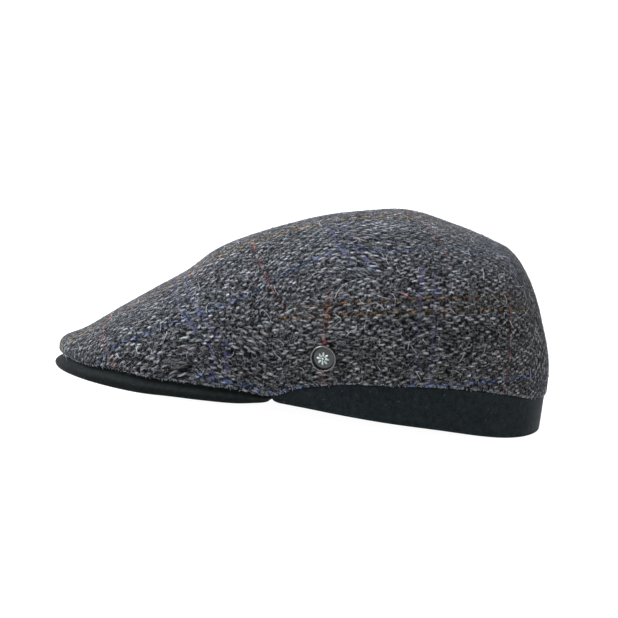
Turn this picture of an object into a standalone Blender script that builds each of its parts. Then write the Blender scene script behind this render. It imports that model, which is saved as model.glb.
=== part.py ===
"""Flat cap of tweed with a dark cloth band and peak, and a small round badge on its left side.

Metres, +Z up. The peak points along -Y and the wearer's left is +X. The cap rests on z = 0, on the
hem of its band at the back and on both sides of its peak near the tip.
"""
import math
from collections import namedtuple

import bmesh
import bpy
from mathutils import Matrix, Vector

# Overall sizes
LENGTH = 0.275
RIM_WIDTH = 0.167
CROWN_LIFT = 0.0859
FULLNESS = 0.0195

# Tweed wall and the clearance between sewn pieces
TWEED_WALL = 0.002
SEAM_GAP = 0.0003

# Band: its depth where it is deepest, its cloth and how far it stands behind the crown's edge
BAND_DEPTH = 0.0242
BAND_WALL = 0.002
BAND_INSET = 0.0004
BAND_LEAN = 0.0003

# Rise of the notch between peak and band above the surface that the cap rests on
NOTCH_RISE = 0.0066

# Peak: how far its lip stands out, its board, and the arch of its inner edge over the forehead
LIP_OUT = 0.0036
LIP_OUT_AT_NOTCH = 0.0025
LIP_TUCK = 0.003
LIP_TUCK_RISE = 0.25
BOARD = 0.003
PEAK_ARCH = 0.030
PEAK_LENGTH = 0.068
PEAK_ROOT_WIDTH = 0.128

# Badge, with its place as a station and a share of the rib there. The dome's sink is the share of
# its rise that lies below the ring's front, and the rim's round is a share of the rim's width.
BADGE_DIAMETER = 0.0128
BADGE_HEIGHT = 0.0022
BADGE_RIM = 0.0009
BADGE_RIM_ROUND = 0.3
BADGE_SEAT = 0.0005
BADGE_GAP = 0.0001
BADGE_DOME = 0.0011
BADGE_DOME_SINK = 0.6
BADGE_STATION = 10.46
BADGE_SHARE = 0.89
ROSETTE_DIAMETER = 0.0072
ROSETTE_HEIGHT = 0.0005
ROSETTE_PETALS = 8
PETAL_NOTCH = 0.16

# Mesh steps, and the least distance between two stations of the mesh
STEPS_PER_STATION = 2
STEP_MIN = 0.15
TOP_STEPS = 16
SIDE_STEPS = 7
BAND_STEPS = 3
BADGE_SIDES = 48
DOME_STEPS = 4
PETAL_SIDES = 6

# Distance along stations and ribs over which a direction is measured, and how near to the tip and
# the nape, where the ribs shrink to a point, one still is
MEASURE_STEP = 0.02
MEASURE_END = 0.12

# Sections of the crown from the tip of the peak to the back. A rib runs from the spine, over the
# brow and down to the rim. Lengthwise places are shares of half the length, lift is a share of the
# crown's lift above the rim, rim_x of half the rim's width, hem of the notch's rise, trim (the
# height of lip or band below the rim) of the band's depth, brow of the rim's half width there,
# flare of the fullness and rise of the rib's own height.
Station = namedtuple("Station", "name spine_y lift rim_x rim_y hem trim brow flare rise")
STATIONS = (
    Station("tip",         -0.971, 0.000, 0.000, -0.971, 0.00, 0.235, 0.60, 0.00, 0.55),
    Station("nose",        -0.986, 0.048, 0.162, -0.956, 0.00, 0.250, 0.60, 0.12, 0.55),
    Station("fold",        -0.975, 0.107, 0.323, -0.909, 0.00, 0.277, 0.60, 0.20, 0.55),
    Station("bill_front",  -0.890, 0.173, 0.491, -0.822, 0.00, 0.298, 0.60, 0.25, 0.58),
    Station("bill",        -0.766, 0.316, 0.617, -0.716, 0.00, 0.347, 0.60, 0.28, 0.60),
    Station("bill_back",   -0.634, 0.468, 0.710, -0.600, 0.05, 0.332, 0.62, 0.30, 0.60),
    Station("root",        -0.514, 0.606, 0.776, -0.480, 0.23, 0.300, 0.64, 0.33, 0.60),
    Station("forehead",    -0.401, 0.767, 0.822, -0.356, 0.35, 0.281, 0.66, 0.40, 0.60),
    Station("temple",      -0.262, 0.887, 0.842, -0.229, 0.50, 0.264, 0.68, 0.50, 0.60),
    Station("notch",       -0.128, 0.986, 0.856, -0.102, 0.90, 0.147, 0.70, 0.65, 0.59),
    Station("badge",        0.019, 0.991, 0.904,  0.008, 0.93, 0.424, 0.72, 0.80, 0.59),
    Station("ear_front",    0.193, 0.990, 0.974,  0.183, 0.83, 0.700, 0.74, 0.95, 0.59),
    Station("crest",        0.354, 0.996, 1.000,  0.357, 0.73, 0.833, 0.76, 1.00, 0.59),
    Station("ear_back",     0.542, 0.920, 0.946,  0.561, 0.57, 0.954, 0.80, 0.95, 0.59),
    Station("nape_side",    0.694, 0.864, 0.830,  0.721, 0.27, 1.000, 0.84, 0.80, 0.59),
    Station("ridge",        0.796, 0.823, 0.695,  0.826, 0.06, 0.970, 0.76, 0.60, 0.60),
    Station("back_high",    0.877, 0.683, 0.550,  0.906, 0.00, 0.893, 0.58, 0.38, 0.60),
    Station("back",         0.938, 0.456, 0.388,  0.959, 0.00, 0.866, 0.58, 0.25, 0.60),
    Station("back_low",     0.985, 0.242, 0.212,  0.989, 0.00, 0.842, 0.56, 0.12, 0.60),
    Station("nape",         1.000, 0.000, 0.000,  1.000, 0.00, 0.833, 0.56, 0.00, 0.60),
)
LAST = float(len(STATIONS) - 1)

# The notch where lip and band meet: its station, half the opening there, the stretch over which
# their lower corners round up, how far up they go as a share of their height, and the steps of it
NOTCH = 8.88
NOTCH_HALF_GAP = 0.02
NOTCH_ROUND = 0.35
NOTCH_ROUND_RISE = 0.8
NOTCH_STEPS = (0.12, 0.35, 0.65, 1.0)

# The seam between top and side panel: the share of each rib, from the spine, at which it crosses
SeamPoint = namedtuple("SeamPoint", "station share")
SEAM = (
    SeamPoint(6.35, 1.000),
    SeamPoint(6.60, 0.940),
    SeamPoint(7.00, 0.855),
    SeamPoint(7.50, 0.775),
    SeamPoint(8.00, 0.725),
    SeamPoint(9.00, 0.680),
    SeamPoint(10.00, 0.635),
    SeamPoint(11.00, 0.555),
    SeamPoint(12.00, 0.490),
    SeamPoint(13.00, 0.400),
    SeamPoint(14.00, 0.360),
    SeamPoint(14.40, 0.365),
    SeamPoint(14.80, 0.420),
    SeamPoint(15.20, 0.530),
    SeamPoint(15.60, 0.700),
    SeamPoint(16.00, 0.840),
    SeamPoint(16.50, 0.945),
    SeamPoint(16.95, 1.000),
)

# How far inside the seam's two ends the side panel is cut off blunt, and its clearance there
SEAM_END = 0.20
SEAM_END_CLEARANCE = 0.03

# Columns that come back on themselves at the tip and the nape, where the outline crosses the middle
EVEN_COLUMNS = ("rim_y", "hem", "trim", "brow", "rise")

# Outline of the lip: shares of how far it stands out and of its height
LipPoint = namedtuple("LipPoint", "out up")
LIP_OUTLINE = (
    LipPoint(0.45, 0.00),
    LipPoint(0.86, 0.20),
    LipPoint(1.00, 0.50),
    LipPoint(0.86, 0.80),
    LipPoint(0.40, 1.00),
)

# Outline of the rosette from its foot to its middle: shares of its radius and of its height
PetalPoint = namedtuple("PetalPoint", "out up")
PETAL_OUTLINE = (
    PetalPoint(1.00, 0.00),
    PetalPoint(1.00, 0.35),
    PetalPoint(0.80, 0.90),
    PetalPoint(0.35, 0.70),
    PetalPoint(0.20, 1.00),
)

# Finish of each piece, and the angle from which an edge stays sharp
Finish = namedtuple("Finish", "color roughness metallic")
TOP_TWEED = Finish((0.100, 0.105, 0.120), 0.95, 0.0)
SIDE_TWEED = Finish((0.055, 0.055, 0.060), 0.95, 0.0)
BAND_CLOTH = Finish((0.013, 0.017, 0.020), 0.85, 0.0)
PEAK_CLOTH = Finish((0.016, 0.022, 0.024), 0.80, 0.0)
RIM_METAL = Finish((0.750, 0.750, 0.770), 0.18, 1.0)
FACE_LACQUER = Finish((0.010, 0.010, 0.011), 0.12, 0.0)
ROSETTE_METAL = Finish((0.700, 0.720, 0.700), 0.30, 1.0)
SHARP_ANGLE = math.radians(50.0)


def clear_scene():
    """Remove every object that the scene starts with."""
    for item in list(bpy.data.objects):
        bpy.data.objects.remove(item, do_unlink=True)


def smooth(places, values, at):
    """Smooth curve through values at rising places, read at one place."""
    row = max((i for i in range(len(places) - 1) if places[i] <= at), default=0)
    start, end = places[row], places[row + 1]
    slopes = []
    for i in (row, row + 1):
        low = max(i - 1, 0)
        high = min(i + 1, len(places) - 1)
        slopes.append((values[high] - values[low]) / (places[high] - places[low]))
    width = end - start
    share = (at - start) / width
    square = share * share
    cube = square * share
    return (
        values[row] * (2 * cube - 3 * square + 1)
        + slopes[0] * width * (cube - 2 * square + share)
        + values[row + 1] * (3 * square - 2 * cube)
        + slopes[1] * width * (cube - square)
    )


def column(name, station):
    """A column of the table at any place between its rows."""
    values = [getattr(item, name) for item in STATIONS]
    if name in EVEN_COLUMNS:
        first, last = values[1], values[-2]
    else:
        first, last = 2 * values[0] - values[1], 2 * values[-1] - values[-2]
    return smooth(range(-1, len(values) + 1), [first, *values, last], station)


def hem_height(station):
    """Height of the lower edge of lip or band above the surface."""
    return max(0.0, column("hem", station)) * NOTCH_RISE


def notch_lift(station):
    """Share of the height of lip or band by which its lower edge rises, rounded, at the notch."""
    near = 1.0 - (abs(station - NOTCH) - NOTCH_HALF_GAP) / NOTCH_ROUND
    if near <= 0.0:
        return 0.0
    return NOTCH_ROUND_RISE * (1.0 - math.sqrt(1.0 - min(near, 1.0) ** 2))


def rim_point(station):
    """The crown's lower edge on the left side."""
    height = hem_height(station) + column("trim", station) * BAND_DEPTH
    return Vector((
        column("rim_x", station) * RIM_WIDTH / 2,
        column("rim_y", station) * LENGTH / 2,
        height,
    ))


def spine_point(station):
    """The middle of the crown, front to back."""
    height = rim_point(station).z + column("lift", station) * CROWN_LIFT
    return Vector((0.0, column("spine_y", station) * LENGTH / 2, height))


def outward(station):
    """Level direction square to the rim, away from the head, on the left side."""
    if station == 0.0:
        return Vector((0.0, -1.0, 0.0))
    if station == LAST:
        return Vector((0.0, 1.0, 0.0))
    low = max(0.0, station - MEASURE_STEP)
    high = min(LAST, station + MEASURE_STEP)
    along = rim_point(high) - rim_point(low)
    return Vector((along.y, -along.x, 0.0)).normalized()


def crown_point(station, share):
    """Outer face of the crown. The share runs from -1 at the right rim to 1 at the left rim."""
    spine = spine_point(station)
    rim = rim_point(station)
    brow = spine + Vector((column("brow", station) * rim.x, 0.0, 0.0))
    cheek = rim + outward(station) * column("flare", station) * FULLNESS
    cheek.z += column("rise", station) * (spine.z - rim.z)
    a = abs(share)
    b = 1.0 - a
    point = spine * b ** 3 + brow * 3 * a * b * b + cheek * 3 * a * a * b + rim * a ** 3
    if share < 0:
        point.x = -point.x
    return point


def crown_normal(station, share):
    """Direction out of the crown's outer face."""
    at = min(max(station, MEASURE_END), LAST - MEASURE_END)
    low = max(-1.0, share - MEASURE_STEP)
    high = min(1.0, share + MEASURE_STEP)
    along = crown_point(at + MEASURE_STEP, share) - crown_point(at - MEASURE_STEP, share)
    across = crown_point(at, high) - crown_point(at, low)
    return across.cross(along).normalized()


def wall_pair(station, share):
    """A point of the outer face and the point of the inner face behind it."""
    outer = crown_point(station, share)
    return outer, outer - crown_normal(station, share) * TWEED_WALL


def seam_share(station):
    """Share of the rib at which the seam between top and side panel crosses it."""
    if station <= SEAM[0].station or station >= SEAM[-1].station:
        return 1.0
    return smooth([item.station for item in SEAM], [item.share for item in SEAM], station)


def rib_length(station):
    """Length of one rib from the spine to the rim, through its middle."""
    middle = crown_point(station, 0.5)
    return (spine_point(station) - middle).length + (rim_point(station) - middle).length


def half_gap(station):
    """Half the seam's gap as a share of the rib."""
    return SEAM_GAP / 2 / rib_length(station)


def steps_between(start, end, extra=()):
    """Stations from start to end at the mesh's steps, with the extra ones in their place."""
    fixed = [value for value in extra if start < value < end]
    fixed += [start, end]
    places = set(fixed)
    for i in range(int(LAST) * STEPS_PER_STATION + 1):
        value = i / STEPS_PER_STATION
        if start < value < end and all(abs(value - other) > STEP_MIN for other in fixed):
            places.add(value)
    return sorted(places)


def middle():
    """Shift that puts the middle of the cap, front to back, at the origin."""
    front = rim_point(0.0).y - LIP_OUT
    back = rim_point(LAST).y
    return Matrix.Translation((0.0, -(front + back) / 2, 0.0))


def add_object(name, bm, finish, place=None):
    """Turn a mesh into one named object with its own material."""
    bmesh.ops.recalc_face_normals(bm, faces=bm.faces)
    mesh = bpy.data.meshes.new(name)
    bm.to_mesh(mesh)
    bm.free()
    mesh.shade_smooth()
    mesh.set_sharp_from_angle(angle=SHARP_ANGLE)
    material = bpy.data.materials.new(name)
    material.use_nodes = True
    shader = material.node_tree.nodes["Principled BSDF"]
    shader.inputs["Base Color"].default_value = (*finish.color, 1.0)
    shader.inputs["Roughness"].default_value = finish.roughness
    shader.inputs["Metallic"].default_value = finish.metallic
    mesh.materials.append(material)
    item = bpy.data.objects.new(name, mesh)
    item.matrix_world = middle() @ (place or Matrix())
    bpy.context.scene.collection.objects.link(item)


def wall_mesh(rows):
    """Closed wall from rows of (outer, inner) pairs. A row of one pair is a corner."""
    bm = bmesh.new()
    grid = [[(bm.verts.new(outer), bm.verts.new(inner)) for outer, inner in row] for row in rows]

    def face(*corners):
        kept = [vert for i, vert in enumerate(corners) if vert is not corners[i - 1]]
        if len(set(kept)) >= 3:
            bm.faces.new(kept)

    def at(row, i):
        return row[min(i, len(row) - 1)]

    for low, high in zip(grid, grid[1:]):
        for i in range(max(len(low), len(high)) - 1):
            for side in (0, 1):
                face(at(low, i)[side], at(low, i + 1)[side], at(high, i + 1)[side], at(high, i)[side])
        for end in (0, -1):
            face(low[end][0], low[end][1], high[end][1], high[end][0])
    for row in (grid[0], grid[-1]):
        for left, right in zip(row, row[1:]):
            face(left[0], left[1], right[1], right[0])
    return bm


def build_crown_top():
    """Top panel: bounded by the two seams, and by the rim at the peak and at the nape."""
    rows = []
    seam_stations = [item.station for item in SEAM]
    seam_stations += [SEAM[0].station + SEAM_END, SEAM[-1].station - SEAM_END]
    for station in steps_between(0.0, LAST, seam_stations):
        if station in (0.0, LAST):
            rows.append([wall_pair(station, 0.0)])
            continue
        limit = seam_share(station)
        if limit < 1.0:
            limit -= half_gap(station)
        shares = [limit * (2 * i / TOP_STEPS - 1) for i in range(TOP_STEPS + 1)]
        rows.append([wall_pair(station, share) for share in shares])
    add_object("crown_top", wall_mesh(rows), TOP_TWEED)


def build_crown_side(name, side):
    """Side panel between its seam and the rim, blunt at both ends."""
    start = SEAM[0].station + SEAM_END
    end = SEAM[-1].station - SEAM_END
    reach = SEAM_END - SEAM_END_CLEARANCE
    rows = []
    for station in steps_between(start, end, [item.station for item in SEAM]):
        low = seam_share(station) + half_gap(station)
        shift = 0.0
        if station == start:
            shift = -reach
        if station == end:
            shift = reach
        row = []
        for i in range(SIDE_STEPS + 1):
            along = i / SIDE_STEPS
            share = low + (1.0 - low) * along
            row.append(wall_pair(station + shift * along, side * share))
        rows.append(row)
    add_object(name, wall_mesh(rows), SIDE_TWEED)


def band_pairs(station, side):
    """Outer and inner points of the band at one station, from its hem up to its top."""
    rim = rim_point(station)
    away = outward(station)
    top = rim.z - SEAM_GAP
    hem = hem_height(station)
    hem += (top - hem) * notch_lift(station)
    pairs = []
    for i in range(BAND_STEPS + 1):
        up = i / BAND_STEPS
        outer = rim - away * (BAND_INSET + BAND_LEAN * (1 - up))
        outer.z = hem + (top - hem) * up
        inner = outer - away * BAND_WALL
        for point in (outer, inner):
            point.x *= side
        pairs.append((outer, inner))
    return pairs


def build_band():
    """Open band from the left notch round the nape to the right notch."""
    start = NOTCH + NOTCH_HALF_GAP
    rounding = [start + NOTCH_ROUND * share for share in NOTCH_STEPS]
    stations = steps_between(start, LAST, rounding)
    rows = [band_pairs(station, 1) for station in stations]
    rows += [band_pairs(station, -1) for station in reversed(stations[:-1])]
    add_object("band", wall_mesh(rows), BAND_CLOTH)


def peak_edge(along):
    """Inner edge of the board over the forehead: half an oval, arched up towards its middle."""
    notch = rim_point(NOTCH)
    front_y = rim_point(0.0).y + PEAK_LENGTH
    turn = along * math.pi / 2
    return Vector((
        PEAK_ROOT_WIDTH / 2 * math.sin(turn),
        notch.y + (front_y - notch.y) * math.cos(turn),
        notch.z - SEAM_GAP + PEAK_ARCH * math.cos(turn) ** 2,
    ))


def peak_section(station, side):
    """Closed outline of the peak at one station: lip, board and inner edge."""
    rim = rim_point(station)
    away = outward(station)
    top = rim.z - SEAM_GAP
    hem = hem_height(station)
    hem += (top - hem) * notch_lift(station)
    along = station / NOTCH
    out = LIP_OUT + (LIP_OUT_AT_NOTCH - LIP_OUT) * along ** 2
    out *= 1.0 - notch_lift(station)
    points = []
    for item in LIP_OUTLINE:
        point = rim + away * out * item.out
        point.z = hem + (top - hem) * item.up
        points.append(point)
    tuck_top = rim - away * LIP_TUCK
    tuck_top.z = top
    points.append(tuck_top)
    edge_top = peak_edge(along)
    points.append(edge_top)
    points.append(edge_top - Vector((0.0, 0.0, BOARD)))
    tuck_low = rim - away * LIP_TUCK
    tuck_low.z = hem + (top - hem) * LIP_TUCK_RISE
    points.append(tuck_low)
    for point in points:
        point.x *= side
    return points


def tube_mesh(sections):
    """Closed body through outlines of equal count, capped at both ends."""
    bm = bmesh.new()
    loops = [[bm.verts.new(point) for point in section] for section in sections]
    for low, high in zip(loops, loops[1:]):
        for i in range(len(low)):
            bm.faces.new((low[i - 1], low[i], high[i], high[i - 1]))
    bm.faces.new(loops[0])
    bm.faces.new(loops[-1])
    return bm


def build_peak():
    """Peak from the left notch round the tip to the right notch."""
    end = NOTCH - NOTCH_HALF_GAP
    rounding = [end - NOTCH_ROUND * share for share in NOTCH_STEPS]
    stations = steps_between(0.0, end, rounding)
    sections = [peak_section(station, 1) for station in reversed(stations)]
    sections += [peak_section(station, -1) for station in stations[1:]]
    add_object("peak", tube_mesh(sections), PEAK_CLOTH)


def turned_mesh(profile):
    """Rings of a body of revolution about Z, from (radius, height) points off the axis."""
    bm = bmesh.new()
    rings = []
    for radius, height in profile:
        ring = []
        for i in range(BADGE_SIDES):
            turn = 2 * math.pi * i / BADGE_SIDES
            ring.append(bm.verts.new((radius * math.cos(turn), radius * math.sin(turn), height)))
        rings.append(ring)
    return bm, rings


def bridge(bm, low, high):
    """Faces between two rings of equal count."""
    for i in range(len(low)):
        bm.faces.new((low[i - 1], low[i], high[i], high[i - 1]))


def badge_place():
    """Place of the badge: its middle on the side panel and its face looking out."""
    point = crown_point(BADGE_STATION, BADGE_SHARE)
    normal = crown_normal(BADGE_STATION, BADGE_SHARE)
    across = Vector((0.0, 0.0, 1.0)).cross(normal).normalized()
    upright = normal.cross(across)
    turn = Matrix((across, upright, normal)).transposed().to_4x4()
    return Matrix.Translation(point + normal * BADGE_SEAT) @ turn


def build_badge_rim():
    """Ring round the badge, open behind and in front."""
    outer = BADGE_DIAMETER / 2
    inner = outer - BADGE_RIM
    edge = BADGE_RIM * BADGE_RIM_ROUND
    profile = (
        (inner, 0.0),
        (outer - edge, 0.0),
        (outer, edge),
        (outer, BADGE_HEIGHT - edge),
        (outer - edge, BADGE_HEIGHT),
        (inner + edge, BADGE_HEIGHT),
        (inner, BADGE_HEIGHT - edge),
    )
    bm, rings = turned_mesh(profile)
    for i in range(len(rings)):
        bridge(bm, rings[i - 1], rings[i])
    add_object("badge_rim", bm, RIM_METAL, badge_place())


def face_reach():
    """Radius of the face that fills the ring."""
    return BADGE_DIAMETER / 2 - BADGE_RIM - BADGE_GAP


def dome_height(share):
    """Height of the badge's face at a share of its radius."""
    return BADGE_HEIGHT + BADGE_DOME * (1.0 - share ** 2 - BADGE_DOME_SINK)


def build_badge_face():
    """Domed disc that fills the ring."""
    shares = [1.0 - i / DOME_STEPS for i in range(DOME_STEPS)]
    profile = [(face_reach(), 0.0)]
    profile += [(face_reach() * share, dome_height(share)) for share in shares]
    bm, rings = turned_mesh(profile)
    for low, high in zip(rings, rings[1:]):
        bridge(bm, low, high)
    bm.faces.new(rings[0])
    top = bm.verts.new((0.0, 0.0, dome_height(0.0)))
    last = rings[-1]
    for i in range(BADGE_SIDES):
        bm.faces.new((last[i - 1], last[i], top))
    add_object("badge_face", bm, FACE_LACQUER, badge_place())


def build_badge_rosette():
    """Raised rosette of rounded petals on the middle of the face."""
    sides = ROSETTE_PETALS * PETAL_SIDES
    foot = dome_height(0.0) + BADGE_GAP
    bm = bmesh.new()
    rings = []
    for item in PETAL_OUTLINE:
        ring = []
        for i in range(sides):
            turn = 2 * math.pi * i / sides
            notch = PETAL_NOTCH * item.out * (1 - abs(math.sin(turn * ROSETTE_PETALS / 2)))
            radius = ROSETTE_DIAMETER / 2 * item.out * (1 - notch)
            height = foot + ROSETTE_HEIGHT * item.up
            ring.append(bm.verts.new((radius * math.cos(turn), radius * math.sin(turn), height)))
        rings.append(ring)
    for low, high in zip(rings, rings[1:]):
        bridge(bm, low, high)
    bm.faces.new(rings[0])
    bm.faces.new(rings[-1])
    add_object("badge_rosette", bm, ROSETTE_METAL, badge_place())


def main():
    clear_scene()
    build_crown_top()
    build_crown_side("crown_side_left", 1)
    build_crown_side("crown_side_right", -1)
    build_band()
    build_peak()
    build_badge_rim()
    build_badge_face()
    build_badge_rosette()


main()
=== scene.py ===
"""Looks of a flat cap: a woven tweed crown, a dark cloth band and peak, and a small round badge.

Metres, +Z up. The peak points along -Y and the wearer's left is +X. Each piece takes the place of one
solid of the frame, and the crown's form comes from the same table of sections as those solids. It is
laid out as an add-on whose operators build one piece each, and it is run as a script.
"""
import math
from collections import namedtuple

import bpy
import numpy as np
from bpy.props import FloatProperty, FloatVectorProperty, IntProperty, PointerProperty
from mathutils import Matrix, Vector, noise


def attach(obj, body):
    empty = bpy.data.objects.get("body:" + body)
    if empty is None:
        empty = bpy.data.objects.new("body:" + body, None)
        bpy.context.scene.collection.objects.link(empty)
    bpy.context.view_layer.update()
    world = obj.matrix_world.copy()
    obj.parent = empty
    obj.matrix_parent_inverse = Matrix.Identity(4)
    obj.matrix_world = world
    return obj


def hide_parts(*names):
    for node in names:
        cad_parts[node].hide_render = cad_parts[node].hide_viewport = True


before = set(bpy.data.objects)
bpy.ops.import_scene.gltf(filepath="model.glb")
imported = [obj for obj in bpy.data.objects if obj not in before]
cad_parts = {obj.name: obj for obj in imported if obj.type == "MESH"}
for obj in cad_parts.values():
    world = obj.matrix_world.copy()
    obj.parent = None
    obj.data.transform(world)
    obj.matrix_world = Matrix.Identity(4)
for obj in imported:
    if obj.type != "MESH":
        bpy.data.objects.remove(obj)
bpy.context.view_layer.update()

bl_info = {
    "name": "Flat cap",
    "version": (1, 0, 0),
    "blender": (4, 5, 0),
    "location": "View3D > Sidebar > Flat cap",
    "description": "Cloth, trim and badge of a tweed flat cap, and the stage that it rests on",
    "category": "Object",
}

BODY = "root"

# Sections of the crown from the tip of the peak to the back. Lengthwise places are shares of half the
# length, lift is a share of the crown's lift above the rim, rim_x of half the rim's width, hem of the
# notch's rise, trim of the band's depth, brow of the rim's half width there, flare of the fullness
# and rise of the rib's own height.
Station = namedtuple("Station", "name spine_y lift rim_x rim_y hem trim brow flare rise")
STATIONS = (
    Station("tip",         -0.971, 0.000, 0.000, -0.971, 0.00, 0.265, 0.60, 0.00, 0.55),
    Station("nose",        -0.986, 0.033, 0.162, -0.956, 0.00, 0.305, 0.60, 0.12, 0.55),
    Station("fold",        -0.975, 0.087, 0.323, -0.909, 0.00, 0.347, 0.60, 0.20, 0.55),
    Station("bill_front",  -0.890, 0.152, 0.491, -0.822, 0.00, 0.373, 0.60, 0.25, 0.58),
    Station("bill",        -0.766, 0.296, 0.617, -0.716, 0.00, 0.417, 0.60, 0.28, 0.60),
    Station("bill_back",   -0.634, 0.454, 0.710, -0.600, 0.05, 0.382, 0.62, 0.30, 0.60),
    Station("root",        -0.514, 0.592, 0.776, -0.480, 0.23, 0.350, 0.64, 0.33, 0.60),
    Station("forehead",    -0.401, 0.753, 0.822, -0.356, 0.35, 0.331, 0.66, 0.40, 0.60),
    Station("temple",      -0.262, 0.879, 0.842, -0.229, 0.50, 0.294, 0.68, 0.50, 0.60),
    Station("notch",       -0.128, 0.986, 0.856, -0.102, 0.90, 0.147, 0.70, 0.65, 0.59),
    Station("badge",        0.019, 0.991, 0.904,  0.008, 0.93, 0.424, 0.72, 0.80, 0.59),
    Station("ear_front",    0.193, 0.990, 0.974,  0.183, 0.83, 0.700, 0.74, 0.95, 0.59),
    Station("crest",        0.354, 0.996, 1.000,  0.357, 0.73, 0.833, 0.76, 1.00, 0.59),
    Station("ear_back",     0.542, 0.920, 0.946,  0.561, 0.57, 0.954, 0.80, 0.95, 0.59),
    Station("nape_side",    0.694, 0.864, 0.830,  0.721, 0.27, 1.000, 0.84, 0.80, 0.59),
    Station("ridge",        0.796, 0.823, 0.695,  0.826, 0.06, 0.970, 0.76, 0.60, 0.60),
    Station("back_high",    0.877, 0.683, 0.550,  0.906, 0.00, 0.893, 0.58, 0.38, 0.60),
    Station("back",         0.938, 0.456, 0.388,  0.959, 0.00, 0.866, 0.58, 0.25, 0.60),
    Station("back_low",     0.985, 0.242, 0.212,  0.989, 0.00, 0.842, 0.56, 0.12, 0.60),
    Station("nape",         1.000, 0.000, 0.000,  1.000, 0.00, 0.833, 0.56, 0.00, 0.60),
)
LAST = float(len(STATIONS) - 1)

# Columns that come back on themselves at the tip and the nape, where the outline crosses the middle
EVEN_COLUMNS = ("rim_y", "hem", "trim", "brow", "rise")

# The seam between top and side panel: the share of each rib, from the spine, at which it crosses
SeamPoint = namedtuple("SeamPoint", "station share")
SEAM = (
    SeamPoint(6.35, 1.000),
    SeamPoint(6.60, 0.940),
    SeamPoint(7.00, 0.855),
    SeamPoint(7.50, 0.775),
    SeamPoint(8.00, 0.725),
    SeamPoint(9.00, 0.680),
    SeamPoint(10.00, 0.635),
    SeamPoint(11.00, 0.555),
    SeamPoint(12.00, 0.490),
    SeamPoint(13.00, 0.400),
    SeamPoint(14.00, 0.360),
    SeamPoint(14.40, 0.365),
    SeamPoint(14.80, 0.420),
    SeamPoint(15.20, 0.530),
    SeamPoint(15.60, 0.700),
    SeamPoint(16.00, 0.840),
    SeamPoint(16.50, 0.945),
    SeamPoint(16.95, 1.000),
)

# Single fibres that catch the eye: stations and shares that each passes, and its width
Mark = namedtuple("Mark", "places width")
PALE_MARKS = (
    Mark(((10.58, 0.652), (10.62, 0.622), (10.68, 0.600), (10.80, 0.588)), 0.00042),
    Mark(((10.63, 0.720), (10.76, 0.741), (10.70, 0.760), (10.56, 0.782)), 0.00036),
    Mark(((14.26, 0.656), (14.31, 0.670), (14.40, 0.690)), 0.00055),
    Mark(((12.22, 0.840), (12.26, 0.852), (12.32, 0.866)), 0.00050),
    Mark(((12.39, 0.810), (12.43, 0.817), (12.46, 0.823)), 0.00050),
    Mark(((13.64, 0.890), (13.74, 0.886), (13.84, 0.872)), 0.00038),
    Mark(((14.08, 0.520), (14.15, 0.550), (14.11, 0.578), (13.98, 0.598)), 0.00030),
    Mark(((13.95, 0.412), (14.02, 0.388), (14.13, 0.390), (14.13, 0.415)), 0.00030),
    Mark(((15.50, 0.650), (15.70, 0.630), (15.84, 0.640), (15.66, 0.660), (15.52, 0.650)), 0.00030),
    Mark(((12.37, 0.936), (12.44, 0.956), (12.49, 0.972)), 0.00040),
)
SALMON_MARKS = (
    Mark(((11.93, 0.628), (11.98, 0.630), (12.05, 0.637)), 0.00110),
)
STRAW_MARKS = (
    Mark(((10.74, 0.318), (10.86, 0.328), (11.00, 0.348)), 0.00036),
)
MARK_STEPS = 14
MARK_LIFT = 0.0002

# Kinds of loose fibre: least length and how much longer it may be, a power that favours short ones, how
# steeply it leaves the cloth at least and how much more, the share of an arch that it makes, its curl in
# radians, its points, its least radius and how much thicker it may be
Fibre = namedtuple("Fibre", "length longer power lift steeper arch curl steps radius thicker")
FUZZ = Fibre(0.0006, 0.0016, 2, 0.40, 1.60, 0.5, 1.5, 3, 0.00003, 0.00003)
HAIR = Fibre(0.0025, 0.0055, 1, 0.12, 0.35, 1.0, 3.0, 8, 0.00009, 0.00006)
RIM_FUZZ = Fibre(0.0004, 0.0009, 1, 0.10, 0.50, 1.0, 2.0, 4, 0.00005, 0.00004)
FIBRE_LIFT = 0.0001

# Hairs keep to a share of the ribs and away from the badge. Rim fuzz starts at a station and lies about
# so far above the rim, as a share of the rib
HAIR_LIMIT = 0.965
HAIR_CLEARANCE = 0.013
RIM_FUZZ_FROM = 1.0
RIM_FUZZ_SHARE = 0.009

# A strand narrows to this share of its radius, and its three sides are counted from this direction
STRAND_TIP = 0.45
STRAND_SLANT = (0.31, 0.52, 0.79)

# Fibres are scattered over a grid with so many stations and shares, between two stations
SCATTER_GRID = (300, 160)
SCATTER_FROM = 0.2
SCATTER_TO = LAST - 0.1

# The notch between lip and band: its station, half its opening, the stretch over which their lower
# corners round up and how far up they go as a share of their height
NOTCH = 9.04
NOTCH_HALF_GAP = 0.02
NOTCH_ROUND = 0.35
NOTCH_ROUND_RISE = 0.55

# Stations over which the tweed's edge begins and stops standing out over the lip, and over which it
# stops tucking in at the tip
OVERHANG_BEGINS = (1.5, 3.0)
OVERHANG_STOPS = (NOTCH - 1.0, NOTCH + 1.0)
TUCK_STOPS = (1.0, 3.0)

# The crown's unevenness fades over a height above the rim, and by a share over a width at a seam
CALM_RIM = 0.010
CALM_SEAM = 0.6
CALM_SEAM_WIDTH = 0.004

# Stations over which the seam fades in and out at its two ends
SEAM_FADE = 0.2

# Floors under divisors: the sine at which the seam crosses a rib, a rib's length for a unit of share and
# the slope of the tweed's edge
LEAST_SINE = 0.35
LEAST_PACE = 0.002
LEAST_SLOPE = 0.3

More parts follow.
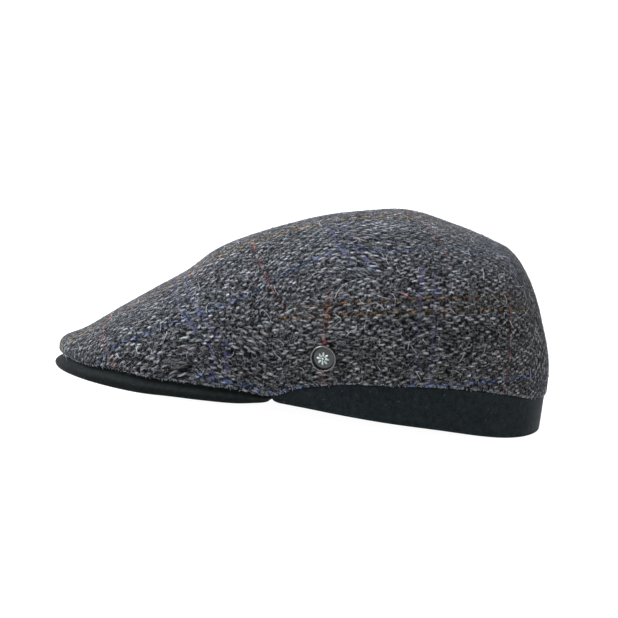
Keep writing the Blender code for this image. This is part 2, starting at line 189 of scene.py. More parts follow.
# Outline of the lip from below to under the tweed: shares of how far it stands out and of its height.
# Its foot closes the section, and the board's underside meets the lip this far up
LipPoint = namedtuple("LipPoint", "out up")
LIP_OUTLINE = (
    LipPoint(0.40, 0.00),
    LipPoint(0.74, 0.07),
    LipPoint(0.94, 0.21),
    LipPoint(1.00, 0.36),
    LipPoint(0.88, 0.50),
    LipPoint(0.50, 0.61),
    LipPoint(0.06, 0.73),
    LipPoint(-0.25, 0.86),
    LipPoint(-0.30, 1.00),
)
LIP_FOOT = LipPoint(-0.20, 0.08)
LIP_TUCK_UP = 0.25

# Band: how far its edges are rounded, also as a share of its depth, how high the hem's fold lies at most
# as a share of that depth, the fold's width as a share of the rounding, and points across the fold
BAND_TURN = 0.001
BAND_TURN_LIMIT = 0.3
FOLD_LIMIT = 0.45
FOLD_WIDTH = 0.22
FOLD_POINTS = (-2.0, -1.2, -0.6, 0.0, 0.6, 1.2, 2.0)
FOLD_SPACING = 0.00002

# How far the ends of band and peak are rounded, and how much their rows crowd by the notch
TRIM_END = 0.0008
CROWDING = 0.25

# Badge: its place as a station and a share of the rib there
BADGE_STATION = 10.505
BADGE_SHARE = 0.893

# Badge parts: the rounding of the ring's edges as a share of its width, the clearance round the face and
# the height of the face's underside
RING_ROUND = 0.42
FACE_CLEARANCE = 0.0001
FACE_FOOT = 0.0002

# Rosette, in shares of its radius: half the length and width of a petal, its distance from the middle
# and the bead's radius. The bead's height is a share of a petal's, and both sink a little
PETAL_LENGTH = 0.36
PETAL_WIDTH = 0.17
PETAL_OUT = 0.62
BEAD_RADIUS = 0.19
BEAD_HEIGHT = 1.25
ROSETTE_SINK = 0.0001

# Coloured threads lie at these numbers of the cloth's repeat, counted in warp ends and weft picks
ENDS_IN_REPEAT = 56
PICKS_IN_REPEAT = 64
RED_ENDS = (1,)
PURPLE_ENDS = (27, 31)
ORANGE_PICKS = (0, 5)
BLUE_PICKS = (34,)

# The twill repeats after this many ends, and a weft float runs over so many of them, least and most
TWILL = 4.0
FLOAT_REACH = (1.3, 2.4)

# Fields of the tweed: where its threads run, and the form of its floats with the dice thrown for each
Threads = namedtuple("Threads", "ends picks end pick place")
Floats = namedtuple("Floats", (
    "warp_up weft_form warp_form height luck bright_luck turn_luck tint_luck warp_luck pale_luck"))

# Tints of the cloths' sheen, and how far fine relief stands up
TWEED_SHEEN_TINT = (0.85, 0.9, 1.0)
TRIM_SHEEN_TINT = (0.85, 0.93, 1.0)
TRIM_RELIEF = 0.00012
METAL_RELIEF = 0.00002

# How the top's cloth lies: the end under a distance along the spine, how much the ends bow back towards
# the rim and sway in front, midway and at the back, and how far the blue pick runs from the spine
TOP_FIRST_END = 1.5
TOP_END_START = 0.0425
TOP_END_SPACING = 0.00161
TOP_END_BOW = 3.04
TOP_END_BOW_FROM = 0.040
TOP_END_BOW_OVER = 0.060
TOP_FIRST_PICK = 3.0
TOP_PICK_START = 0.019
TOP_PICK_SPACING = 0.00146
TOP_BLUE_AT = 0.065
BlueLine = namedtuple("BlueLine", "station distance")
TOP_BLUE = (
    BlueLine(4.0, 0.0520),
    BlueLine(4.7, 0.0555),
    BlueLine(5.3, 0.0590),
    BlueLine(6.0, 0.0611),
    BlueLine(6.8, 0.0670),
    BlueLine(7.3, 0.0690),
    BlueLine(8.1, 0.0692),
    BlueLine(8.5, 0.0650),
    BlueLine(9.0, 0.0620),
    BlueLine(9.6, 0.0625),
    BlueLine(10.3, 0.0592),
    BlueLine(10.8, 0.0595),
    BlueLine(11.2, 0.0645),
    BlueLine(11.6, 0.0672),
    BlueLine(12.0, 0.0652),
    BlueLine(12.4, 0.0580),
    BlueLine(12.8, 0.0515),
    BlueLine(13.4, 0.0438),
    BlueLine(14.1, 0.0320),
    BlueLine(14.8, 0.0310),
    BlueLine(15.2, 0.0420),
    BlueLine(16.0, 0.0560),
)
TOP_HANGS_FROM = 14.2
TOP_HANGS_TO = 15.8
TOP_BACK_RADIUS = 0.095
TOP_SWAY_MIDDLE = (0.045, 0.10)
TOP_SWAY_BACK = (0.15, 0.235)
Sway = namedtuple("Sway", "distance front middle back")
TOP_END_SWAY = (
    Sway(0.000, 0.0, 1.3, 2.5),
    Sway(0.020, 0.9, 1.3, 1.1),
    Sway(0.032, 3.8, 1.2, -3.0),
    Sway(0.045, 3.4, 1.2, -3.6),
    Sway(0.055, 1.0, 1.2, -3.5),
    Sway(0.065, -1.5, 0.9, -3.9),
    Sway(0.080, -1.5, -0.2, -3.9),
    Sway(0.090, -1.5, -1.5, -3.9),
)

# How the side's cloth lies: the station at which an end crosses the rim and a level above it, how far up
# the ends keep that slant, the stretch of the picks, and the height above the rim of the blue pick
EndMark = namedtuple("EndMark", "end low high")
SIDE_ENDS = (
    EndMark(-62.0, 4.00, 3.86),
    EndMark(-26.6, 7.39, 7.26),
    EndMark(1.5, 10.50, 10.45),
    EndMark(29.5, 12.49, 12.41),
    EndMark(57.5, 14.58, 14.27),
    EndMark(110.0, 19.00, 18.90),
)
SIDE_LEVEL = 0.045
SIDE_SLANT_REACH = 1.2
SIDE_BLUE_PICK = BLUE_PICKS[0] + 0.5
SIDE_PICK_SPACING = 0.0014
Stretch = namedtuple("Stretch", "station share")
SIDE_PICK_STRETCH = (
    Stretch(8.5, 1.000),
    Stretch(9.2, 0.990),
    Stretch(9.7, 0.940),
    Stretch(10.0, 0.915),
    Stretch(10.5, 0.915),
    Stretch(10.8, 0.955),
    Stretch(11.4, 0.985),
    Stretch(12.0, 1.012),
    Stretch(12.4, 1.020),
    Stretch(12.9, 1.010),
    Stretch(14.0, 0.985),
    Stretch(15.0, 0.935),
)
BlueHeight = namedtuple("BlueHeight", "station height")
SIDE_BLUE = (
    BlueHeight(6.0, 0.0056),
    BlueHeight(6.6, 0.0054),
    BlueHeight(8.0, 0.0042),
    BlueHeight(9.5, 0.0016),
    BlueHeight(11.0, -0.0005),
    BlueHeight(12.0, -0.0005),
    BlueHeight(13.1, 0.0029),
    BlueHeight(14.3, 0.0080),
    BlueHeight(16.2, 0.0150),
    BlueHeight(17.0, 0.0180),
)

# The right side's cloth is cut from another place of the repeat
RIGHT_END_SHIFT = 17.0
RIGHT_PICK_SHIFT = 11.0

# How far inside the seam's two ends the side panel starts
SIDE_INSET = 0.16

# Mesh steps: rows along the cap, and points of a section's faces and edges
TOP_ROWS = 286
TOP_OUTER = 150
TOP_INNER = 36
SIDE_ROWS = 190
SIDE_OUTER = 84
SIDE_INNER = 20
ROLL_STEPS = 5
BAND_ROWS = 190
BAND_TURN_STEPS = 6
BAND_FACE_STEPS = 11
PEAK_ROWS = 190
LIP_STEPS = 25
BOARD_STEPS = 8
BOARD_EDGE_STEPS = 7
UNDERSIDE_STEPS = 9
END_STEPS = 5
ROUND_STEPS = 96
COVE_STEPS = 12
MERGE_DISTANCE = 0.000001

# How much closer the points of a crown section lie at its two edges
GRID_EASE = 0.5

# Steps in which curves are measured, and how far from the table's ends their slopes are taken
FINE_STEPS = 1501
RULER_STEPS = 201
MEASURE_STEP = 0.01
MEASURE_END = 0.03

# Seed of the loose fibres
SEED = 7

# Lamps: width and height, place, and the point that each looks at
Lamp = namedtuple("Lamp", "size place target")
KEY_LAMP = Lamp((1.6, 2.2), (0.2, -0.8, 2.05), (0.0, 0.0, 0.0))
FRONT_LAMP = Lamp((1.4, 1.2), (-0.25, -1.8, 1.65), (0.0, 0.0, 0.05))
BACK_LAMP = Lamp((1.0, 1.0), (1.0, 2.4, 0.7), (0.0, 0.1, 0.05))
WHITE = (1.0, 1.0, 1.0)

# Directions: up, and a mask that makes points level
UP = np.array([0.0, 0.0, 1.0])
LEVEL = np.array([1.0, 1.0, 0.0])


class CapSizes(bpy.types.PropertyGroup):
    """Sizes of the cap, its cloth and its badge, and numbers of loose fibres."""

    length: FloatProperty(
        name="Length", description="Length that the table of sections shares out",
        default=0.275, unit="LENGTH")
    rim_width: FloatProperty(
        name="Rim width", description="Widest part of the crown's lower edge",
        default=0.167, unit="LENGTH")
    crown_lift: FloatProperty(
        name="Crown lift", description="Height of the crown above its lower edge",
        default=0.0859, unit="LENGTH")
    fullness: FloatProperty(
        name="Fullness", description="How far the crown swells past its lower edge",
        default=0.0195, unit="LENGTH")
    band_depth: FloatProperty(
        name="Band depth", description="Depth of the band where it is deepest",
        default=0.0242, unit="LENGTH")
    notch_rise: FloatProperty(
        name="Notch rise", description="Height of the notch between peak and band above the floor",
        default=0.0066, unit="LENGTH")
    tweed_wall: FloatProperty(
        name="Tweed wall", description="Thickness of the tweed", default=0.002, unit="LENGTH")
    seam_gap: FloatProperty(
        name="Seam gap", description="Clearance between sewn pieces", default=0.00002, unit="LENGTH")
    seam_roll: FloatProperty(
        name="Seam roll", description="How far an edge rolls over at a seam",
        default=0.0002, unit="LENGTH")
    seam_dip: FloatProperty(
        name="Seam dip", description="How far the cloth sinks towards a seam",
        default=0.00035, unit="LENGTH")
    seam_dip_width: FloatProperty(
        name="Seam dip width", description="Stretch over which the cloth sinks",
        default=0.0022, unit="LENGTH")
    rim_roll: FloatProperty(
        name="Rim roll", description="How far the tweed's lower edge rolls over band and lip",
        default=0.0010, unit="LENGTH")
    rim_proud: FloatProperty(
        name="Rim proud", description="How far the tweed stands out along its edge over the band",
        default=0.00035, unit="LENGTH")
    rim_overhang: FloatProperty(
        name="Rim overhang", description="How far the tweed stands out along its edge over the lip",
        default=0.0010, unit="LENGTH")
    tip_tuck: FloatProperty(
        name="Tip tuck", description="How far the tweed's edge tucks in at the tip of the peak",
        default=0.0008, unit="LENGTH")
    rim_proud_width: FloatProperty(
        name="Rim proud width", description="Stretch above the lower edge that stands out",
        default=0.007, unit="LENGTH")
    ripple: FloatProperty(
        name="Ripple", description="Height of the crown's soft unevenness",
        default=0.0005, unit="LENGTH")
    ripple_length: FloatProperty(
        name="Ripple length", description="Distance between neighbouring swells",
        default=0.028, unit="LENGTH")
    band_wall: FloatProperty(
        name="Band wall", description="Thickness of the band", default=0.002, unit="LENGTH")
    band_inset: FloatProperty(
        name="Band inset", description="How far the band stands behind the crown's lower edge",
        default=0.0004, unit="LENGTH")
    band_lean: FloatProperty(
        name="Band lean", description="How much further in its lower edge stands",
        default=0.0003, unit="LENGTH")
    trim_drop: FloatProperty(
        name="Trim drop", description="Clearance under the tweed's edge",
        default=0.00004, unit="LENGTH")
    hem_line: FloatProperty(
        name="Hem line", description="Height of the hem's fold line above the band's lower edge",
        default=0.0019, unit="LENGTH")
    hem_groove: FloatProperty(
        name="Hem groove", description="Depth of the hem's fold line", default=0.00022, unit="LENGTH")
    lip_out: FloatProperty(
        name="Lip out", description="How far the peak's lip stands out at its tip",
        default=0.0036, unit="LENGTH")
    lip_out_at_notch: FloatProperty(
        name="Lip out at notch", description="How far the lip stands out at its ends",
        default=0.0025, unit="LENGTH")
    lip_tuck: FloatProperty(
        name="Lip tuck", description="How far behind the rim the lip meets the board",
        default=0.003, unit="LENGTH")
    board: FloatProperty(
        name="Board", description="Thickness of the peak's board", default=0.003, unit="LENGTH")
    peak_arch: FloatProperty(
        name="Peak arch", description="Rise of the board's inner edge over the forehead",
        default=0.030, unit="LENGTH")
    peak_length: FloatProperty(
        name="Peak length", description="From the tip of the rim to the board's inner edge",
        default=0.068, unit="LENGTH")
    peak_root_width: FloatProperty(
        name="Peak root width", description="Width of the board's inner edge",
        default=0.128, unit="LENGTH")
    badge_diameter: FloatProperty(
        name="Badge diameter", description="Outer diameter of the badge's ring",
        default=0.0137, unit="LENGTH")
    badge_height: FloatProperty(
        name="Badge height", description="Height of the badge's ring", default=0.0022, unit="LENGTH")
    badge_ring: FloatProperty(
        name="Badge ring", description="Width of the badge's ring", default=0.0006, unit="LENGTH")
    badge_seat: FloatProperty(
        name="Badge seat", description="Clearance between badge and cloth",
        default=0.0005, unit="LENGTH")
    badge_dome: FloatProperty(
        name="Badge dome", description="Rise of the badge's face", default=0.0013, unit="LENGTH")
    badge_recess: FloatProperty(
        name="Badge recess", description="How deep the edge of the face lies in the ring",
        default=0.0014, unit="LENGTH")
    rosette_diameter: FloatProperty(
        name="Rosette diameter", description="Diameter of the rosette", default=0.0072, unit="LENGTH")
    rosette_height: FloatProperty(
        name="Rosette height", description="How far the rosette is raised",
        default=0.0005, unit="LENGTH")
    rosette_petals: IntProperty(
        name="Rosette petals", description="Number of petals", default=8, min=3)
    fuzz_count: IntProperty(
        name="Fuzz", description="Short fibres that stand off the tweed", default=9000, min=0)
    rim_fuzz_count: IntProperty(
        name="Rim fuzz", description="Short fibres along the tweed's lower edge", default=1400, min=0)
    hair_count: IntProperty(
        name="Hairs", description="Long pale hairs that lie on the tweed", default=380, min=0)


class CapColours(bpy.types.PropertyGroup):
    """Colours of threads, trim and badge."""

    weft: FloatVectorProperty(
        name="Weft", description="Pale weft of the tweed", subtype="COLOR",
        default=(0.262, 0.266, 0.276))
    warp: FloatVectorProperty(
        name="Warp", description="Dark warp of the tweed", subtype="COLOR",
        default=(0.014, 0.014, 0.0165))
    orange: FloatVectorProperty(
        name="Orange", description="Rusty floats of the orange weft lines", subtype="COLOR",
        default=(0.175, 0.062, 0.020))
    gold: FloatVectorProperty(
        name="Gold", description="Golden floats of the orange weft lines", subtype="COLOR",
        default=(0.240, 0.150, 0.035))
    blue: FloatVectorProperty(
        name="Blue", description="Blue weft lines", subtype="COLOR", default=(0.066, 0.115, 0.250))
    red: FloatVectorProperty(
        name="Red", description="Red warp lines", subtype="COLOR", default=(0.108, 0.038, 0.032))
    purple: FloatVectorProperty(
        name="Purple", description="Purple warp lines", subtype="COLOR", default=(0.042, 0.041, 0.080))
    hair: FloatVectorProperty(
        name="Hair", description="Loose fibres", subtype="COLOR", default=(0.50, 0.51, 0.53))
    pale_hair: FloatVectorProperty(
        name="Pale hair", description="Single pale hairs", subtype="COLOR", default=(0.40, 0.40, 0.385))
    salmon: FloatVectorProperty(
        name="Salmon", description="A salmon nep on the side", subtype="COLOR",
        default=(0.46, 0.19, 0.14))
    straw: FloatVectorProperty(
        name="Straw", description="A straw fibre on the top", subtype="COLOR",
        default=(0.42, 0.33, 0.18))
    band: FloatVectorProperty(
        name="Band", description="Cloth of the band", subtype="COLOR", default=(0.0068, 0.0097, 0.0107))
    peak: FloatVectorProperty(
        name="Peak", description="Cloth of the peak", subtype="COLOR", default=(0.0042, 0.0054, 0.0054))
    ring: FloatVectorProperty(
        name="Ring", description="Metal of the badge's ring", subtype="COLOR",
        default=(0.17, 0.17, 0.162))
    face: FloatVectorProperty(
        name="Face", description="Lacquer of the badge", subtype="COLOR", default=(0.010, 0.010, 0.011))
    rosette: FloatVectorProperty(
        name="Rosette", description="Metal of the rosette", subtype="COLOR", default=(0.40, 0.46, 0.43))
    floor: FloatVectorProperty(
        name="Floor", description="Floor and backdrop", subtype="COLOR", default=(0.20, 0.20, 0.20))


class WeaveSettings(bpy.types.PropertyGroup):
    """How the tweed is woven and finished."""

    relief: FloatProperty(
        name="Relief", description="Height of the threads", default=0.0006, unit="LENGTH")
    slant: FloatProperty(
        name="Slant", description="Slant of a weft float, in picks", default=0.12)
    wander: FloatProperty(
        name="Wander", description="How far threads wander, in threads", default=0.6)
    jitter: FloatProperty(
        name="Jitter", description="How unevenly threads lie, in threads", default=0.38)
    fray: FloatProperty(
        name="Fray", description="How ragged threads are, in threads", default=0.36)
    heather: FloatProperty(
        name="Heather", description="Share by which larger patches vary", default=0.95)
    # Painted shade: how dark the gaps between fibres are painted
    pits: FloatProperty(
        name="Pits", description="Brightness left in the gaps between fibres", default=0.25)
    halo: FloatProperty(
        name="Halo", description="How far coloured threads tint the cloth beside them", default=0.95)
    tint: FloatProperty(
        name="Tint", description="Share by which the wool's colour varies", default=0.16)
    grain: FloatProperty(
        name="Grain", description="Share by which single fibres vary", default=1.15)


class StageSettings(bpy.types.PropertyGroup):
    """Camera, lights and backdrop."""

    distance: FloatProperty(
        name="Distance", description="Camera's distance", default=1.2, unit="LENGTH")
    elevation: FloatProperty(
        name="Elevation", description="Camera's height above the level", subtype="ANGLE",
        default=math.radians(7.8))
    roll: FloatProperty(
        name="Roll", description="How far the camera is turned about its own axis", subtype="ANGLE",
        default=math.radians(7.27))
    target: FloatVectorProperty(
        name="Target", description="Point at the middle of the picture", subtype="TRANSLATION",
        default=(0.0, 0.00033, 0.04855))
    lens: FloatProperty(
        name="Lens", description="Focal length in millimetres", default=124.86)
    sensor: FloatProperty(
        name="Sensor", description="Sensor width in millimetres", default=36.0)
    key_power: FloatProperty(
        name="Key light", description="Power of the overhead light in watts", default=50.0)
    key_tint: FloatVectorProperty(
        name="Key tint", description="Colour of the overhead light", subtype="COLOR",
        default=(0.93, 0.985, 1.08))
    front_power: FloatProperty(
        name="Front light", description="Power of the light before the peak in watts", default=148.0)
    front_tint: FloatVectorProperty(
        name="Front tint", description="Colour of the light before the peak", subtype="COLOR",
        default=(0.94, 0.99, 1.07))
    back_power: FloatProperty(
        name="Back light", description="Power of the light behind the cap in watts", default=12.0)
    world_strength: FloatProperty(
        name="Surroundings", description="Strength of the white surroundings", default=0.30)
    glow: FloatProperty(
        name="Glow", description="How brightly the backdrop is lit from behind", default=0.97)
    floor_radius: FloatProperty(
        name="Floor radius", description="Radius of the flat floor", default=2.2, unit="LENGTH")
    cove_radius: FloatProperty(
        name="Cove radius", description="Radius of the curve between floor and wall",
        default=1.0, unit="LENGTH")
    wall_height: FloatProperty(
        name="Wall height", description="Height of the backdrop", default=2.6, unit="LENGTH")


def sizes():
    """The sizes in the scene."""
    return bpy.context.scene.flat_cap_sizes


def colours():
    """The colours in the scene."""
    return bpy.context.scene.flat_cap_colours


def smooth(places, values, at):
    """Smooth curve through values at rising places, read at an array of places."""
    places = np.asarray(places, float)
    values = np.asarray(values, float)
    low = np.maximum(np.arange(len(places)) - 1, 0)
    high = np.minimum(np.arange(len(places)) + 1, len(places) - 1)
    slopes = (values[high] - values[low]) / (places[high] - places[low])
    row = np.clip(np.searchsorted(places, at, side="right") - 1, 0, len(places) - 2)
    width = places[row + 1] - places[row]
    share = (at - places[row]) / width
    square = share * share
    cube = square * share
    return (
        values[row] * (2 * cube - 3 * square + 1)
        + slopes[row] * width * (cube - 2 * square + share)
        + values[row + 1] * (3 * square - 2 * cube)
        + slopes[row + 1] * width * (cube - square)
    )


def read(table, name):
    """One column of a table."""
    return [getattr(item, name) for item in table]


def ease(low, high, at):
    """Smooth step from 0 at low to 1 at high."""
    share = np.clip((at - low) / (high - low), 0.0, 1.0)
    return share * share * (3 - 2 * share)


def quarter_round(near):
    """How far a quarter circle has left its tangent: 0 where near is 0, 1 where near is 1."""
    return 1.0 - np.sqrt(1.0 - near ** 2)


def unit(vectors):
    """Vectors at length one."""
    return vectors / np.maximum(np.linalg.norm(vectors, axis=-1, keepdims=True), 1e-12)


def column(name, station):
    """A column of the table at any place between its rows."""
    values = read(STATIONS, name)
    if name in EVEN_COLUMNS:
        first, last = values[1], values[-2]
    else:
        first, last = 2 * values[0] - values[1], 2 * values[-1] - values[-2]
    return smooth(range(-1, len(values) + 1), [first, *values, last], station)


def hem_height(station):
    """Height of the lower edge of lip or band above the surface."""
    return np.maximum(0.0, column("hem", station)) * sizes().notch_rise


def notch_lift(station):
    """Share of the height of lip or band by which its lower edge rises, rounded, at the notch."""
    near = np.clip(1.0 - (np.abs(station - NOTCH) - NOTCH_HALF_GAP) / NOTCH_ROUND, 0.0, 1.0)
    return NOTCH_ROUND_RISE * quarter_round(near)


def middle_shift():
    """Shift along Y that puts the middle of the cap at the origin."""
    ends = (STATIONS[0].rim_y + STATIONS[-1].rim_y) * sizes().length / 2
    return (sizes().lip_out - ends) / 2


def rim_points(station):
    """The crown's lower edge on the left side."""
    x = column("rim_x", station) * sizes().rim_width / 2
    y = column("rim_y", station) * sizes().length / 2 + middle_shift()
    z = hem_height(station) + column("trim", station) * sizes().band_depth
    return np.stack([x, y, z], axis=-1)


def spine_points(station):
    """The middle of the crown, front to back."""
    y = column("spine_y", station) * sizes().length / 2 + middle_shift()
    z = rim_points(station)[..., 2] + column("lift", station) * sizes().crown_lift
    return np.stack([np.zeros_like(y), y, z], axis=-1)


def outward(station):
    """Level direction square to the rim, away from the head, on the left side."""
    at = np.clip(station, MEASURE_STEP, LAST - MEASURE_STEP)
    along = rim_points(at + MEASURE_STEP) - rim_points(at - MEASURE_STEP)
    level = np.stack([along[..., 1], -along[..., 0], np.zeros_like(along[..., 0])], axis=-1)
    front = np.array([0.0, -1.0, 0.0])
    level = np.where((station <= 0.0)[..., None], front, level)
    level = np.where((station >= LAST)[..., None], -front, level)
    return unit(level)


def crown_points(station, share):
    """Outer face of the crown. The share runs from -1 at the right rim to 1 at the left rim."""
    spine = spine_points(station)
    rim = rim_points(station)
    brow = spine.copy()
    brow[..., 0] += column("brow", station) * rim[..., 0]
    cheek = rim + outward(station) * (column("flare", station) * sizes().fullness)[..., None]
    cheek[..., 2] += column("rise", station) * (spine[..., 2] - rim[..., 2])
    a = np.abs(share)[..., None]
    b = 1.0 - a
    points = spine * b ** 3 + brow * 3 * a * b * b + cheek * 3 * a * a * b + rim * a ** 3
    points[..., 0] *= np.where(share < 0, -1.0, 1.0)
    return points


def crown_normals(station, share):
    """Direction out of the crown's outer face."""
    at = np.clip(station, MEASURE_END, LAST - MEASURE_END)
    along = crown_points(at + MEASURE_STEP, share) - crown_points(at - MEASURE_STEP, share)
    low = np.maximum(share - MEASURE_STEP, -1.0)
    high = np.minimum(share + MEASURE_STEP, 1.0)
    across = crown_points(at, high) - crown_points(at, low)
    return unit(np.cross(across, along))


def lengths_along(points, axis):
    """Distance travelled along an axis of a grid of points, from its first one."""
    steps = np.linalg.norm(np.diff(points, axis=axis), axis=-1)
    total = np.cumsum(steps, axis=axis)
    start = np.zeros_like(np.take(total, [0], axis=axis))
    return np.concatenate([start, total], axis=axis)


def seam_share(station):
    """Share of the rib at which the seam between top and side panel crosses it."""
    inside = np.clip(station, SEAM[0].station, SEAM[-1].station)
    share = smooth(read(SEAM, "station"), read(SEAM, "share"), inside)
    return np.minimum(share, 1.0)


def even_stations(start, end, count, share):
    """Stations from start to end, evenly far apart along the crown at one share of its ribs."""
    fine = np.linspace(start, end, FINE_STEPS)
    path = crown_points(fine, np.full_like(fine, share))
    travelled = lengths_along(path, 0)
    places = np.interp(np.linspace(0.0, travelled[-1], count), travelled, fine)
    places[0], places[-1] = start, end
    return places


def eased_steps(count):
    """Places from -1 to 1, closer together at both ends."""
    even = np.linspace(-1.0, 1.0, count)
    return even * (1 - GRID_EASE) + GRID_EASE * np.sin(even * math.pi / 2)


class RibRuler:
    """Distances along the crown's ribs and spine, for one row of stations."""

    def __init__(self, station):
        self.shares = np.linspace(0.0, 1.0, RULER_STEPS)
        ribs = crown_points(station[:, None], self.shares[None, :])
        self.lengths = lengths_along(ribs, 1)
        fine = np.linspace(0.0, LAST, FINE_STEPS)
        spine = lengths_along(spine_points(fine), 0)
        self.along_spine = np.interp(station, fine, spine)

    def rib(self):
        """Length of each rib from the spine to the rim."""
        return self.lengths[:, -1]

    def pace(self, share):
        """Length of each rib for a unit of share, at one share of each."""
        rates = np.gradient(self.lengths, self.shares, axis=1)
        return np.array([np.interp(one, self.shares, row) for one, row in zip(share, rates)])

    def from_spine(self, share):
        """Signed distance of each share from the spine, along its rib."""
        rows = [
            np.interp(np.abs(row), self.shares, lengths)
            for row, lengths in zip(share, self.lengths)
        ]
        return np.array(rows) * np.where(share < 0, -1.0, 1.0)


def seam_zone(station):
    """How far into the stretch that has a seam a station lies: 0 at the rim, 1 at the seam."""
    front = ease(SEAM[0].station, SEAM[0].station + SEAM_FADE, station)
    back = 1.0 - ease(SEAM[-1].station - SEAM_FADE, SEAM[-1].station, station)
    return front * back


def seam_crossing(station):
    """Sine of the angle at which the seam crosses each rib."""
    share = seam_share(station)
    low = np.maximum(station - MEASURE_STEP, 0.0)
    high = np.minimum(station + MEASURE_STEP, LAST)
    path = crown_points(high, seam_share(high)) - crown_points(low, seam_share(low))
    rib = crown_points(station, np.minimum(share + MEASURE_STEP, 1.0))
    rib = rib - crown_points(station, share - MEASURE_STEP)
    sine = np.linalg.norm(np.cross(unit(path), unit(rib)), axis=-1)
    return np.maximum(sine, LEAST_SINE)


def top_cloth(station, share, ruler):
    """Thread numbers (end, pick) of the top panel's cloth."""
    across = ruler.from_spine(share)
    distance = np.abs(across)
    along = ruler.along_spine[:, None]
    bow = np.clip((along - TOP_END_BOW_FROM) / TOP_END_BOW_OVER, 0.0, 1.0)
    bowed = along - TOP_END_BOW * across ** 2 * bow
    ends = TOP_FIRST_END + (bowed - TOP_END_START) / TOP_END_SPACING
    front, middle, back = [
        np.interp(distance, read(TOP_END_SWAY, "distance"), read(TOP_END_SWAY, name))
        for name in ("front", "middle", "back")
    ]
    ends = ends + front + (middle - front) * ease(*TOP_SWAY_MIDDLE, along)
    ends = ends + (back - middle) * ease(*TOP_SWAY_BACK, along)
    blue = np.interp(station, read(TOP_BLUE, "station"), read(TOP_BLUE, "distance"))[:, None]
    laid = np.where(distance < blue, distance * TOP_BLUE_AT / blue, TOP_BLUE_AT + distance - blue)
    laid = laid * np.sign(across)
    hangs = ease(TOP_HANGS_FROM, TOP_HANGS_TO, station)[:, None]
    points = crown_points(station[:, None], share)
    level = np.arcsin(np.clip(points[..., 0] / TOP_BACK_RADIUS, -0.99, 0.99)) * TOP_BACK_RADIUS
    down = np.linspace(TOP_HANGS_FROM, LAST, FINE_STEPS)[::-1]
    spine = spine_points(down)[:, 2]
    drop = np.interp(points[..., 2], spine, np.interp(down, station, ruler.along_spine))
    fallen = TOP_FIRST_END + (drop - TOP_END_START) / TOP_END_SPACING
    ends = ends + (fallen - ends) * hangs
    laid = laid + (level - laid) * hangs
    picks = TOP_FIRST_PICK + (laid - TOP_PICK_START) / TOP_PICK_SPACING
    return np.stack(np.broadcast_arrays(ends, picks), axis=-1)


def side_cloth(station, share, ruler, side):
    """Thread numbers (end, pick) of a side panel's cloth."""
    height = ruler.rib()[:, None] - ruler.from_spine(np.abs(share))
    low = smooth(read(SIDE_ENDS, "low"), read(SIDE_ENDS, "end"), station)[:, None]
    high = smooth(read(SIDE_ENDS, "high"), read(SIDE_ENDS, "end"), station)[:, None]
    ends = low + (high - low) * np.clip(height / SIDE_LEVEL, 0.0, SIDE_SLANT_REACH)
    blue = np.interp(station, read(SIDE_BLUE, "station"), read(SIDE_BLUE, "height"))[:, None]
    stretch = np.interp(station, read(SIDE_PICK_STRETCH, "station"), read(SIDE_PICK_STRETCH, "share"))
    picks = SIDE_BLUE_PICK - (height - blue) / (SIDE_PICK_SPACING * stretch[:, None])
    if side < 0:
        ends = ends + RIGHT_END_SHIFT
        picks = picks + RIGHT_PICK_SHIFT
    return np.stack(np.broadcast_arrays(ends, picks), axis=-1)


def ripple_heights(points):
    """Soft unevenness of the crown at each point."""
    scale = 1.0 / sizes().ripple_length
    flat = points.reshape(-1, 3) * scale
    heights = [noise.noise(Vector(place)) for place in flat]
    return np.array(heights).reshape(points.shape[:-1]) * sizes().ripple


def stand_out(station):
    """How far the tweed's lower edge stands out over lip and band."""
    over_lip = (1.0 - ease(*OVERHANG_STOPS, station)) * ease(*OVERHANG_BEGINS, station)
    proud = sizes().rim_proud + (sizes().rim_overhang - sizes().rim_proud) * over_lip
    return proud - sizes().tip_tuck * (1.0 - ease(*TUCK_STOPS, station))


def dressed(station, share, ruler, near_seam, near_rim):
    """Outer face of a panel with its unevenness, its dip at the seam and its edge at the rim."""
    points = crown_points(station[:, None], share)
    normals = crown_normals(station[:, None], share)
    distance = ruler.from_spine(np.abs(share))
    from_seam = np.abs(distance - ruler.from_spine(seam_share(station)[:, None]))
    from_seam = from_seam * seam_crossing(station)[:, None]
    from_rim = ruler.rib()[:, None] - distance
    dip = sizes().seam_dip * np.exp(-(from_seam / sizes().seam_dip_width) ** 2) * near_seam[:, None]
    proud = (stand_out(station) * near_rim)[:, None]
    proud = proud * (1.0 - ease(0.0, sizes().rim_proud_width, from_rim))
    calm = ease(0.0, CALM_RIM, from_rim)
    calm = calm * (1.0 - CALM_SEAM * np.exp(-(from_seam / CALM_SEAM_WIDTH) ** 2))
    lift = ripple_heights(points) * calm - dip + proud
    return points + normals * lift[..., None], normals


def rolled_edge(outer, inner, normal, seam, station):
    """Points of a rounded cloth edge from the outer to the inner face, without those two.

    Where seam is 1 the edge rolls over by the seam's roll, and where it is 0 it reaches down to the rim.
    """
    path = np.gradient(outer, axis=0)
    away = unit(np.cross(normal, path))
    centre = (outer + inner) / 2
    half = (outer - inner) / 2
    rim_height = rim_points(station)[:, 2]
    down = (centre[:, 2] - rim_height) / np.maximum(-away[:, 2], LEAST_SLOPE)
    reach = sizes().seam_roll * seam + np.clip(down, 0.0, 2 * sizes().rim_roll) * (1 - seam)
    turns = np.linspace(0.0, math.pi, ROLL_STEPS + 2)[1:-1]
    return [
        centre + half * math.cos(turn) + away * (reach * math.sin(turn))[:, None]
        for turn in turns
    ]


def name_piece(item, name):
    """Name a piece and its mesh."""
    item.name = name
    item.data.name = name


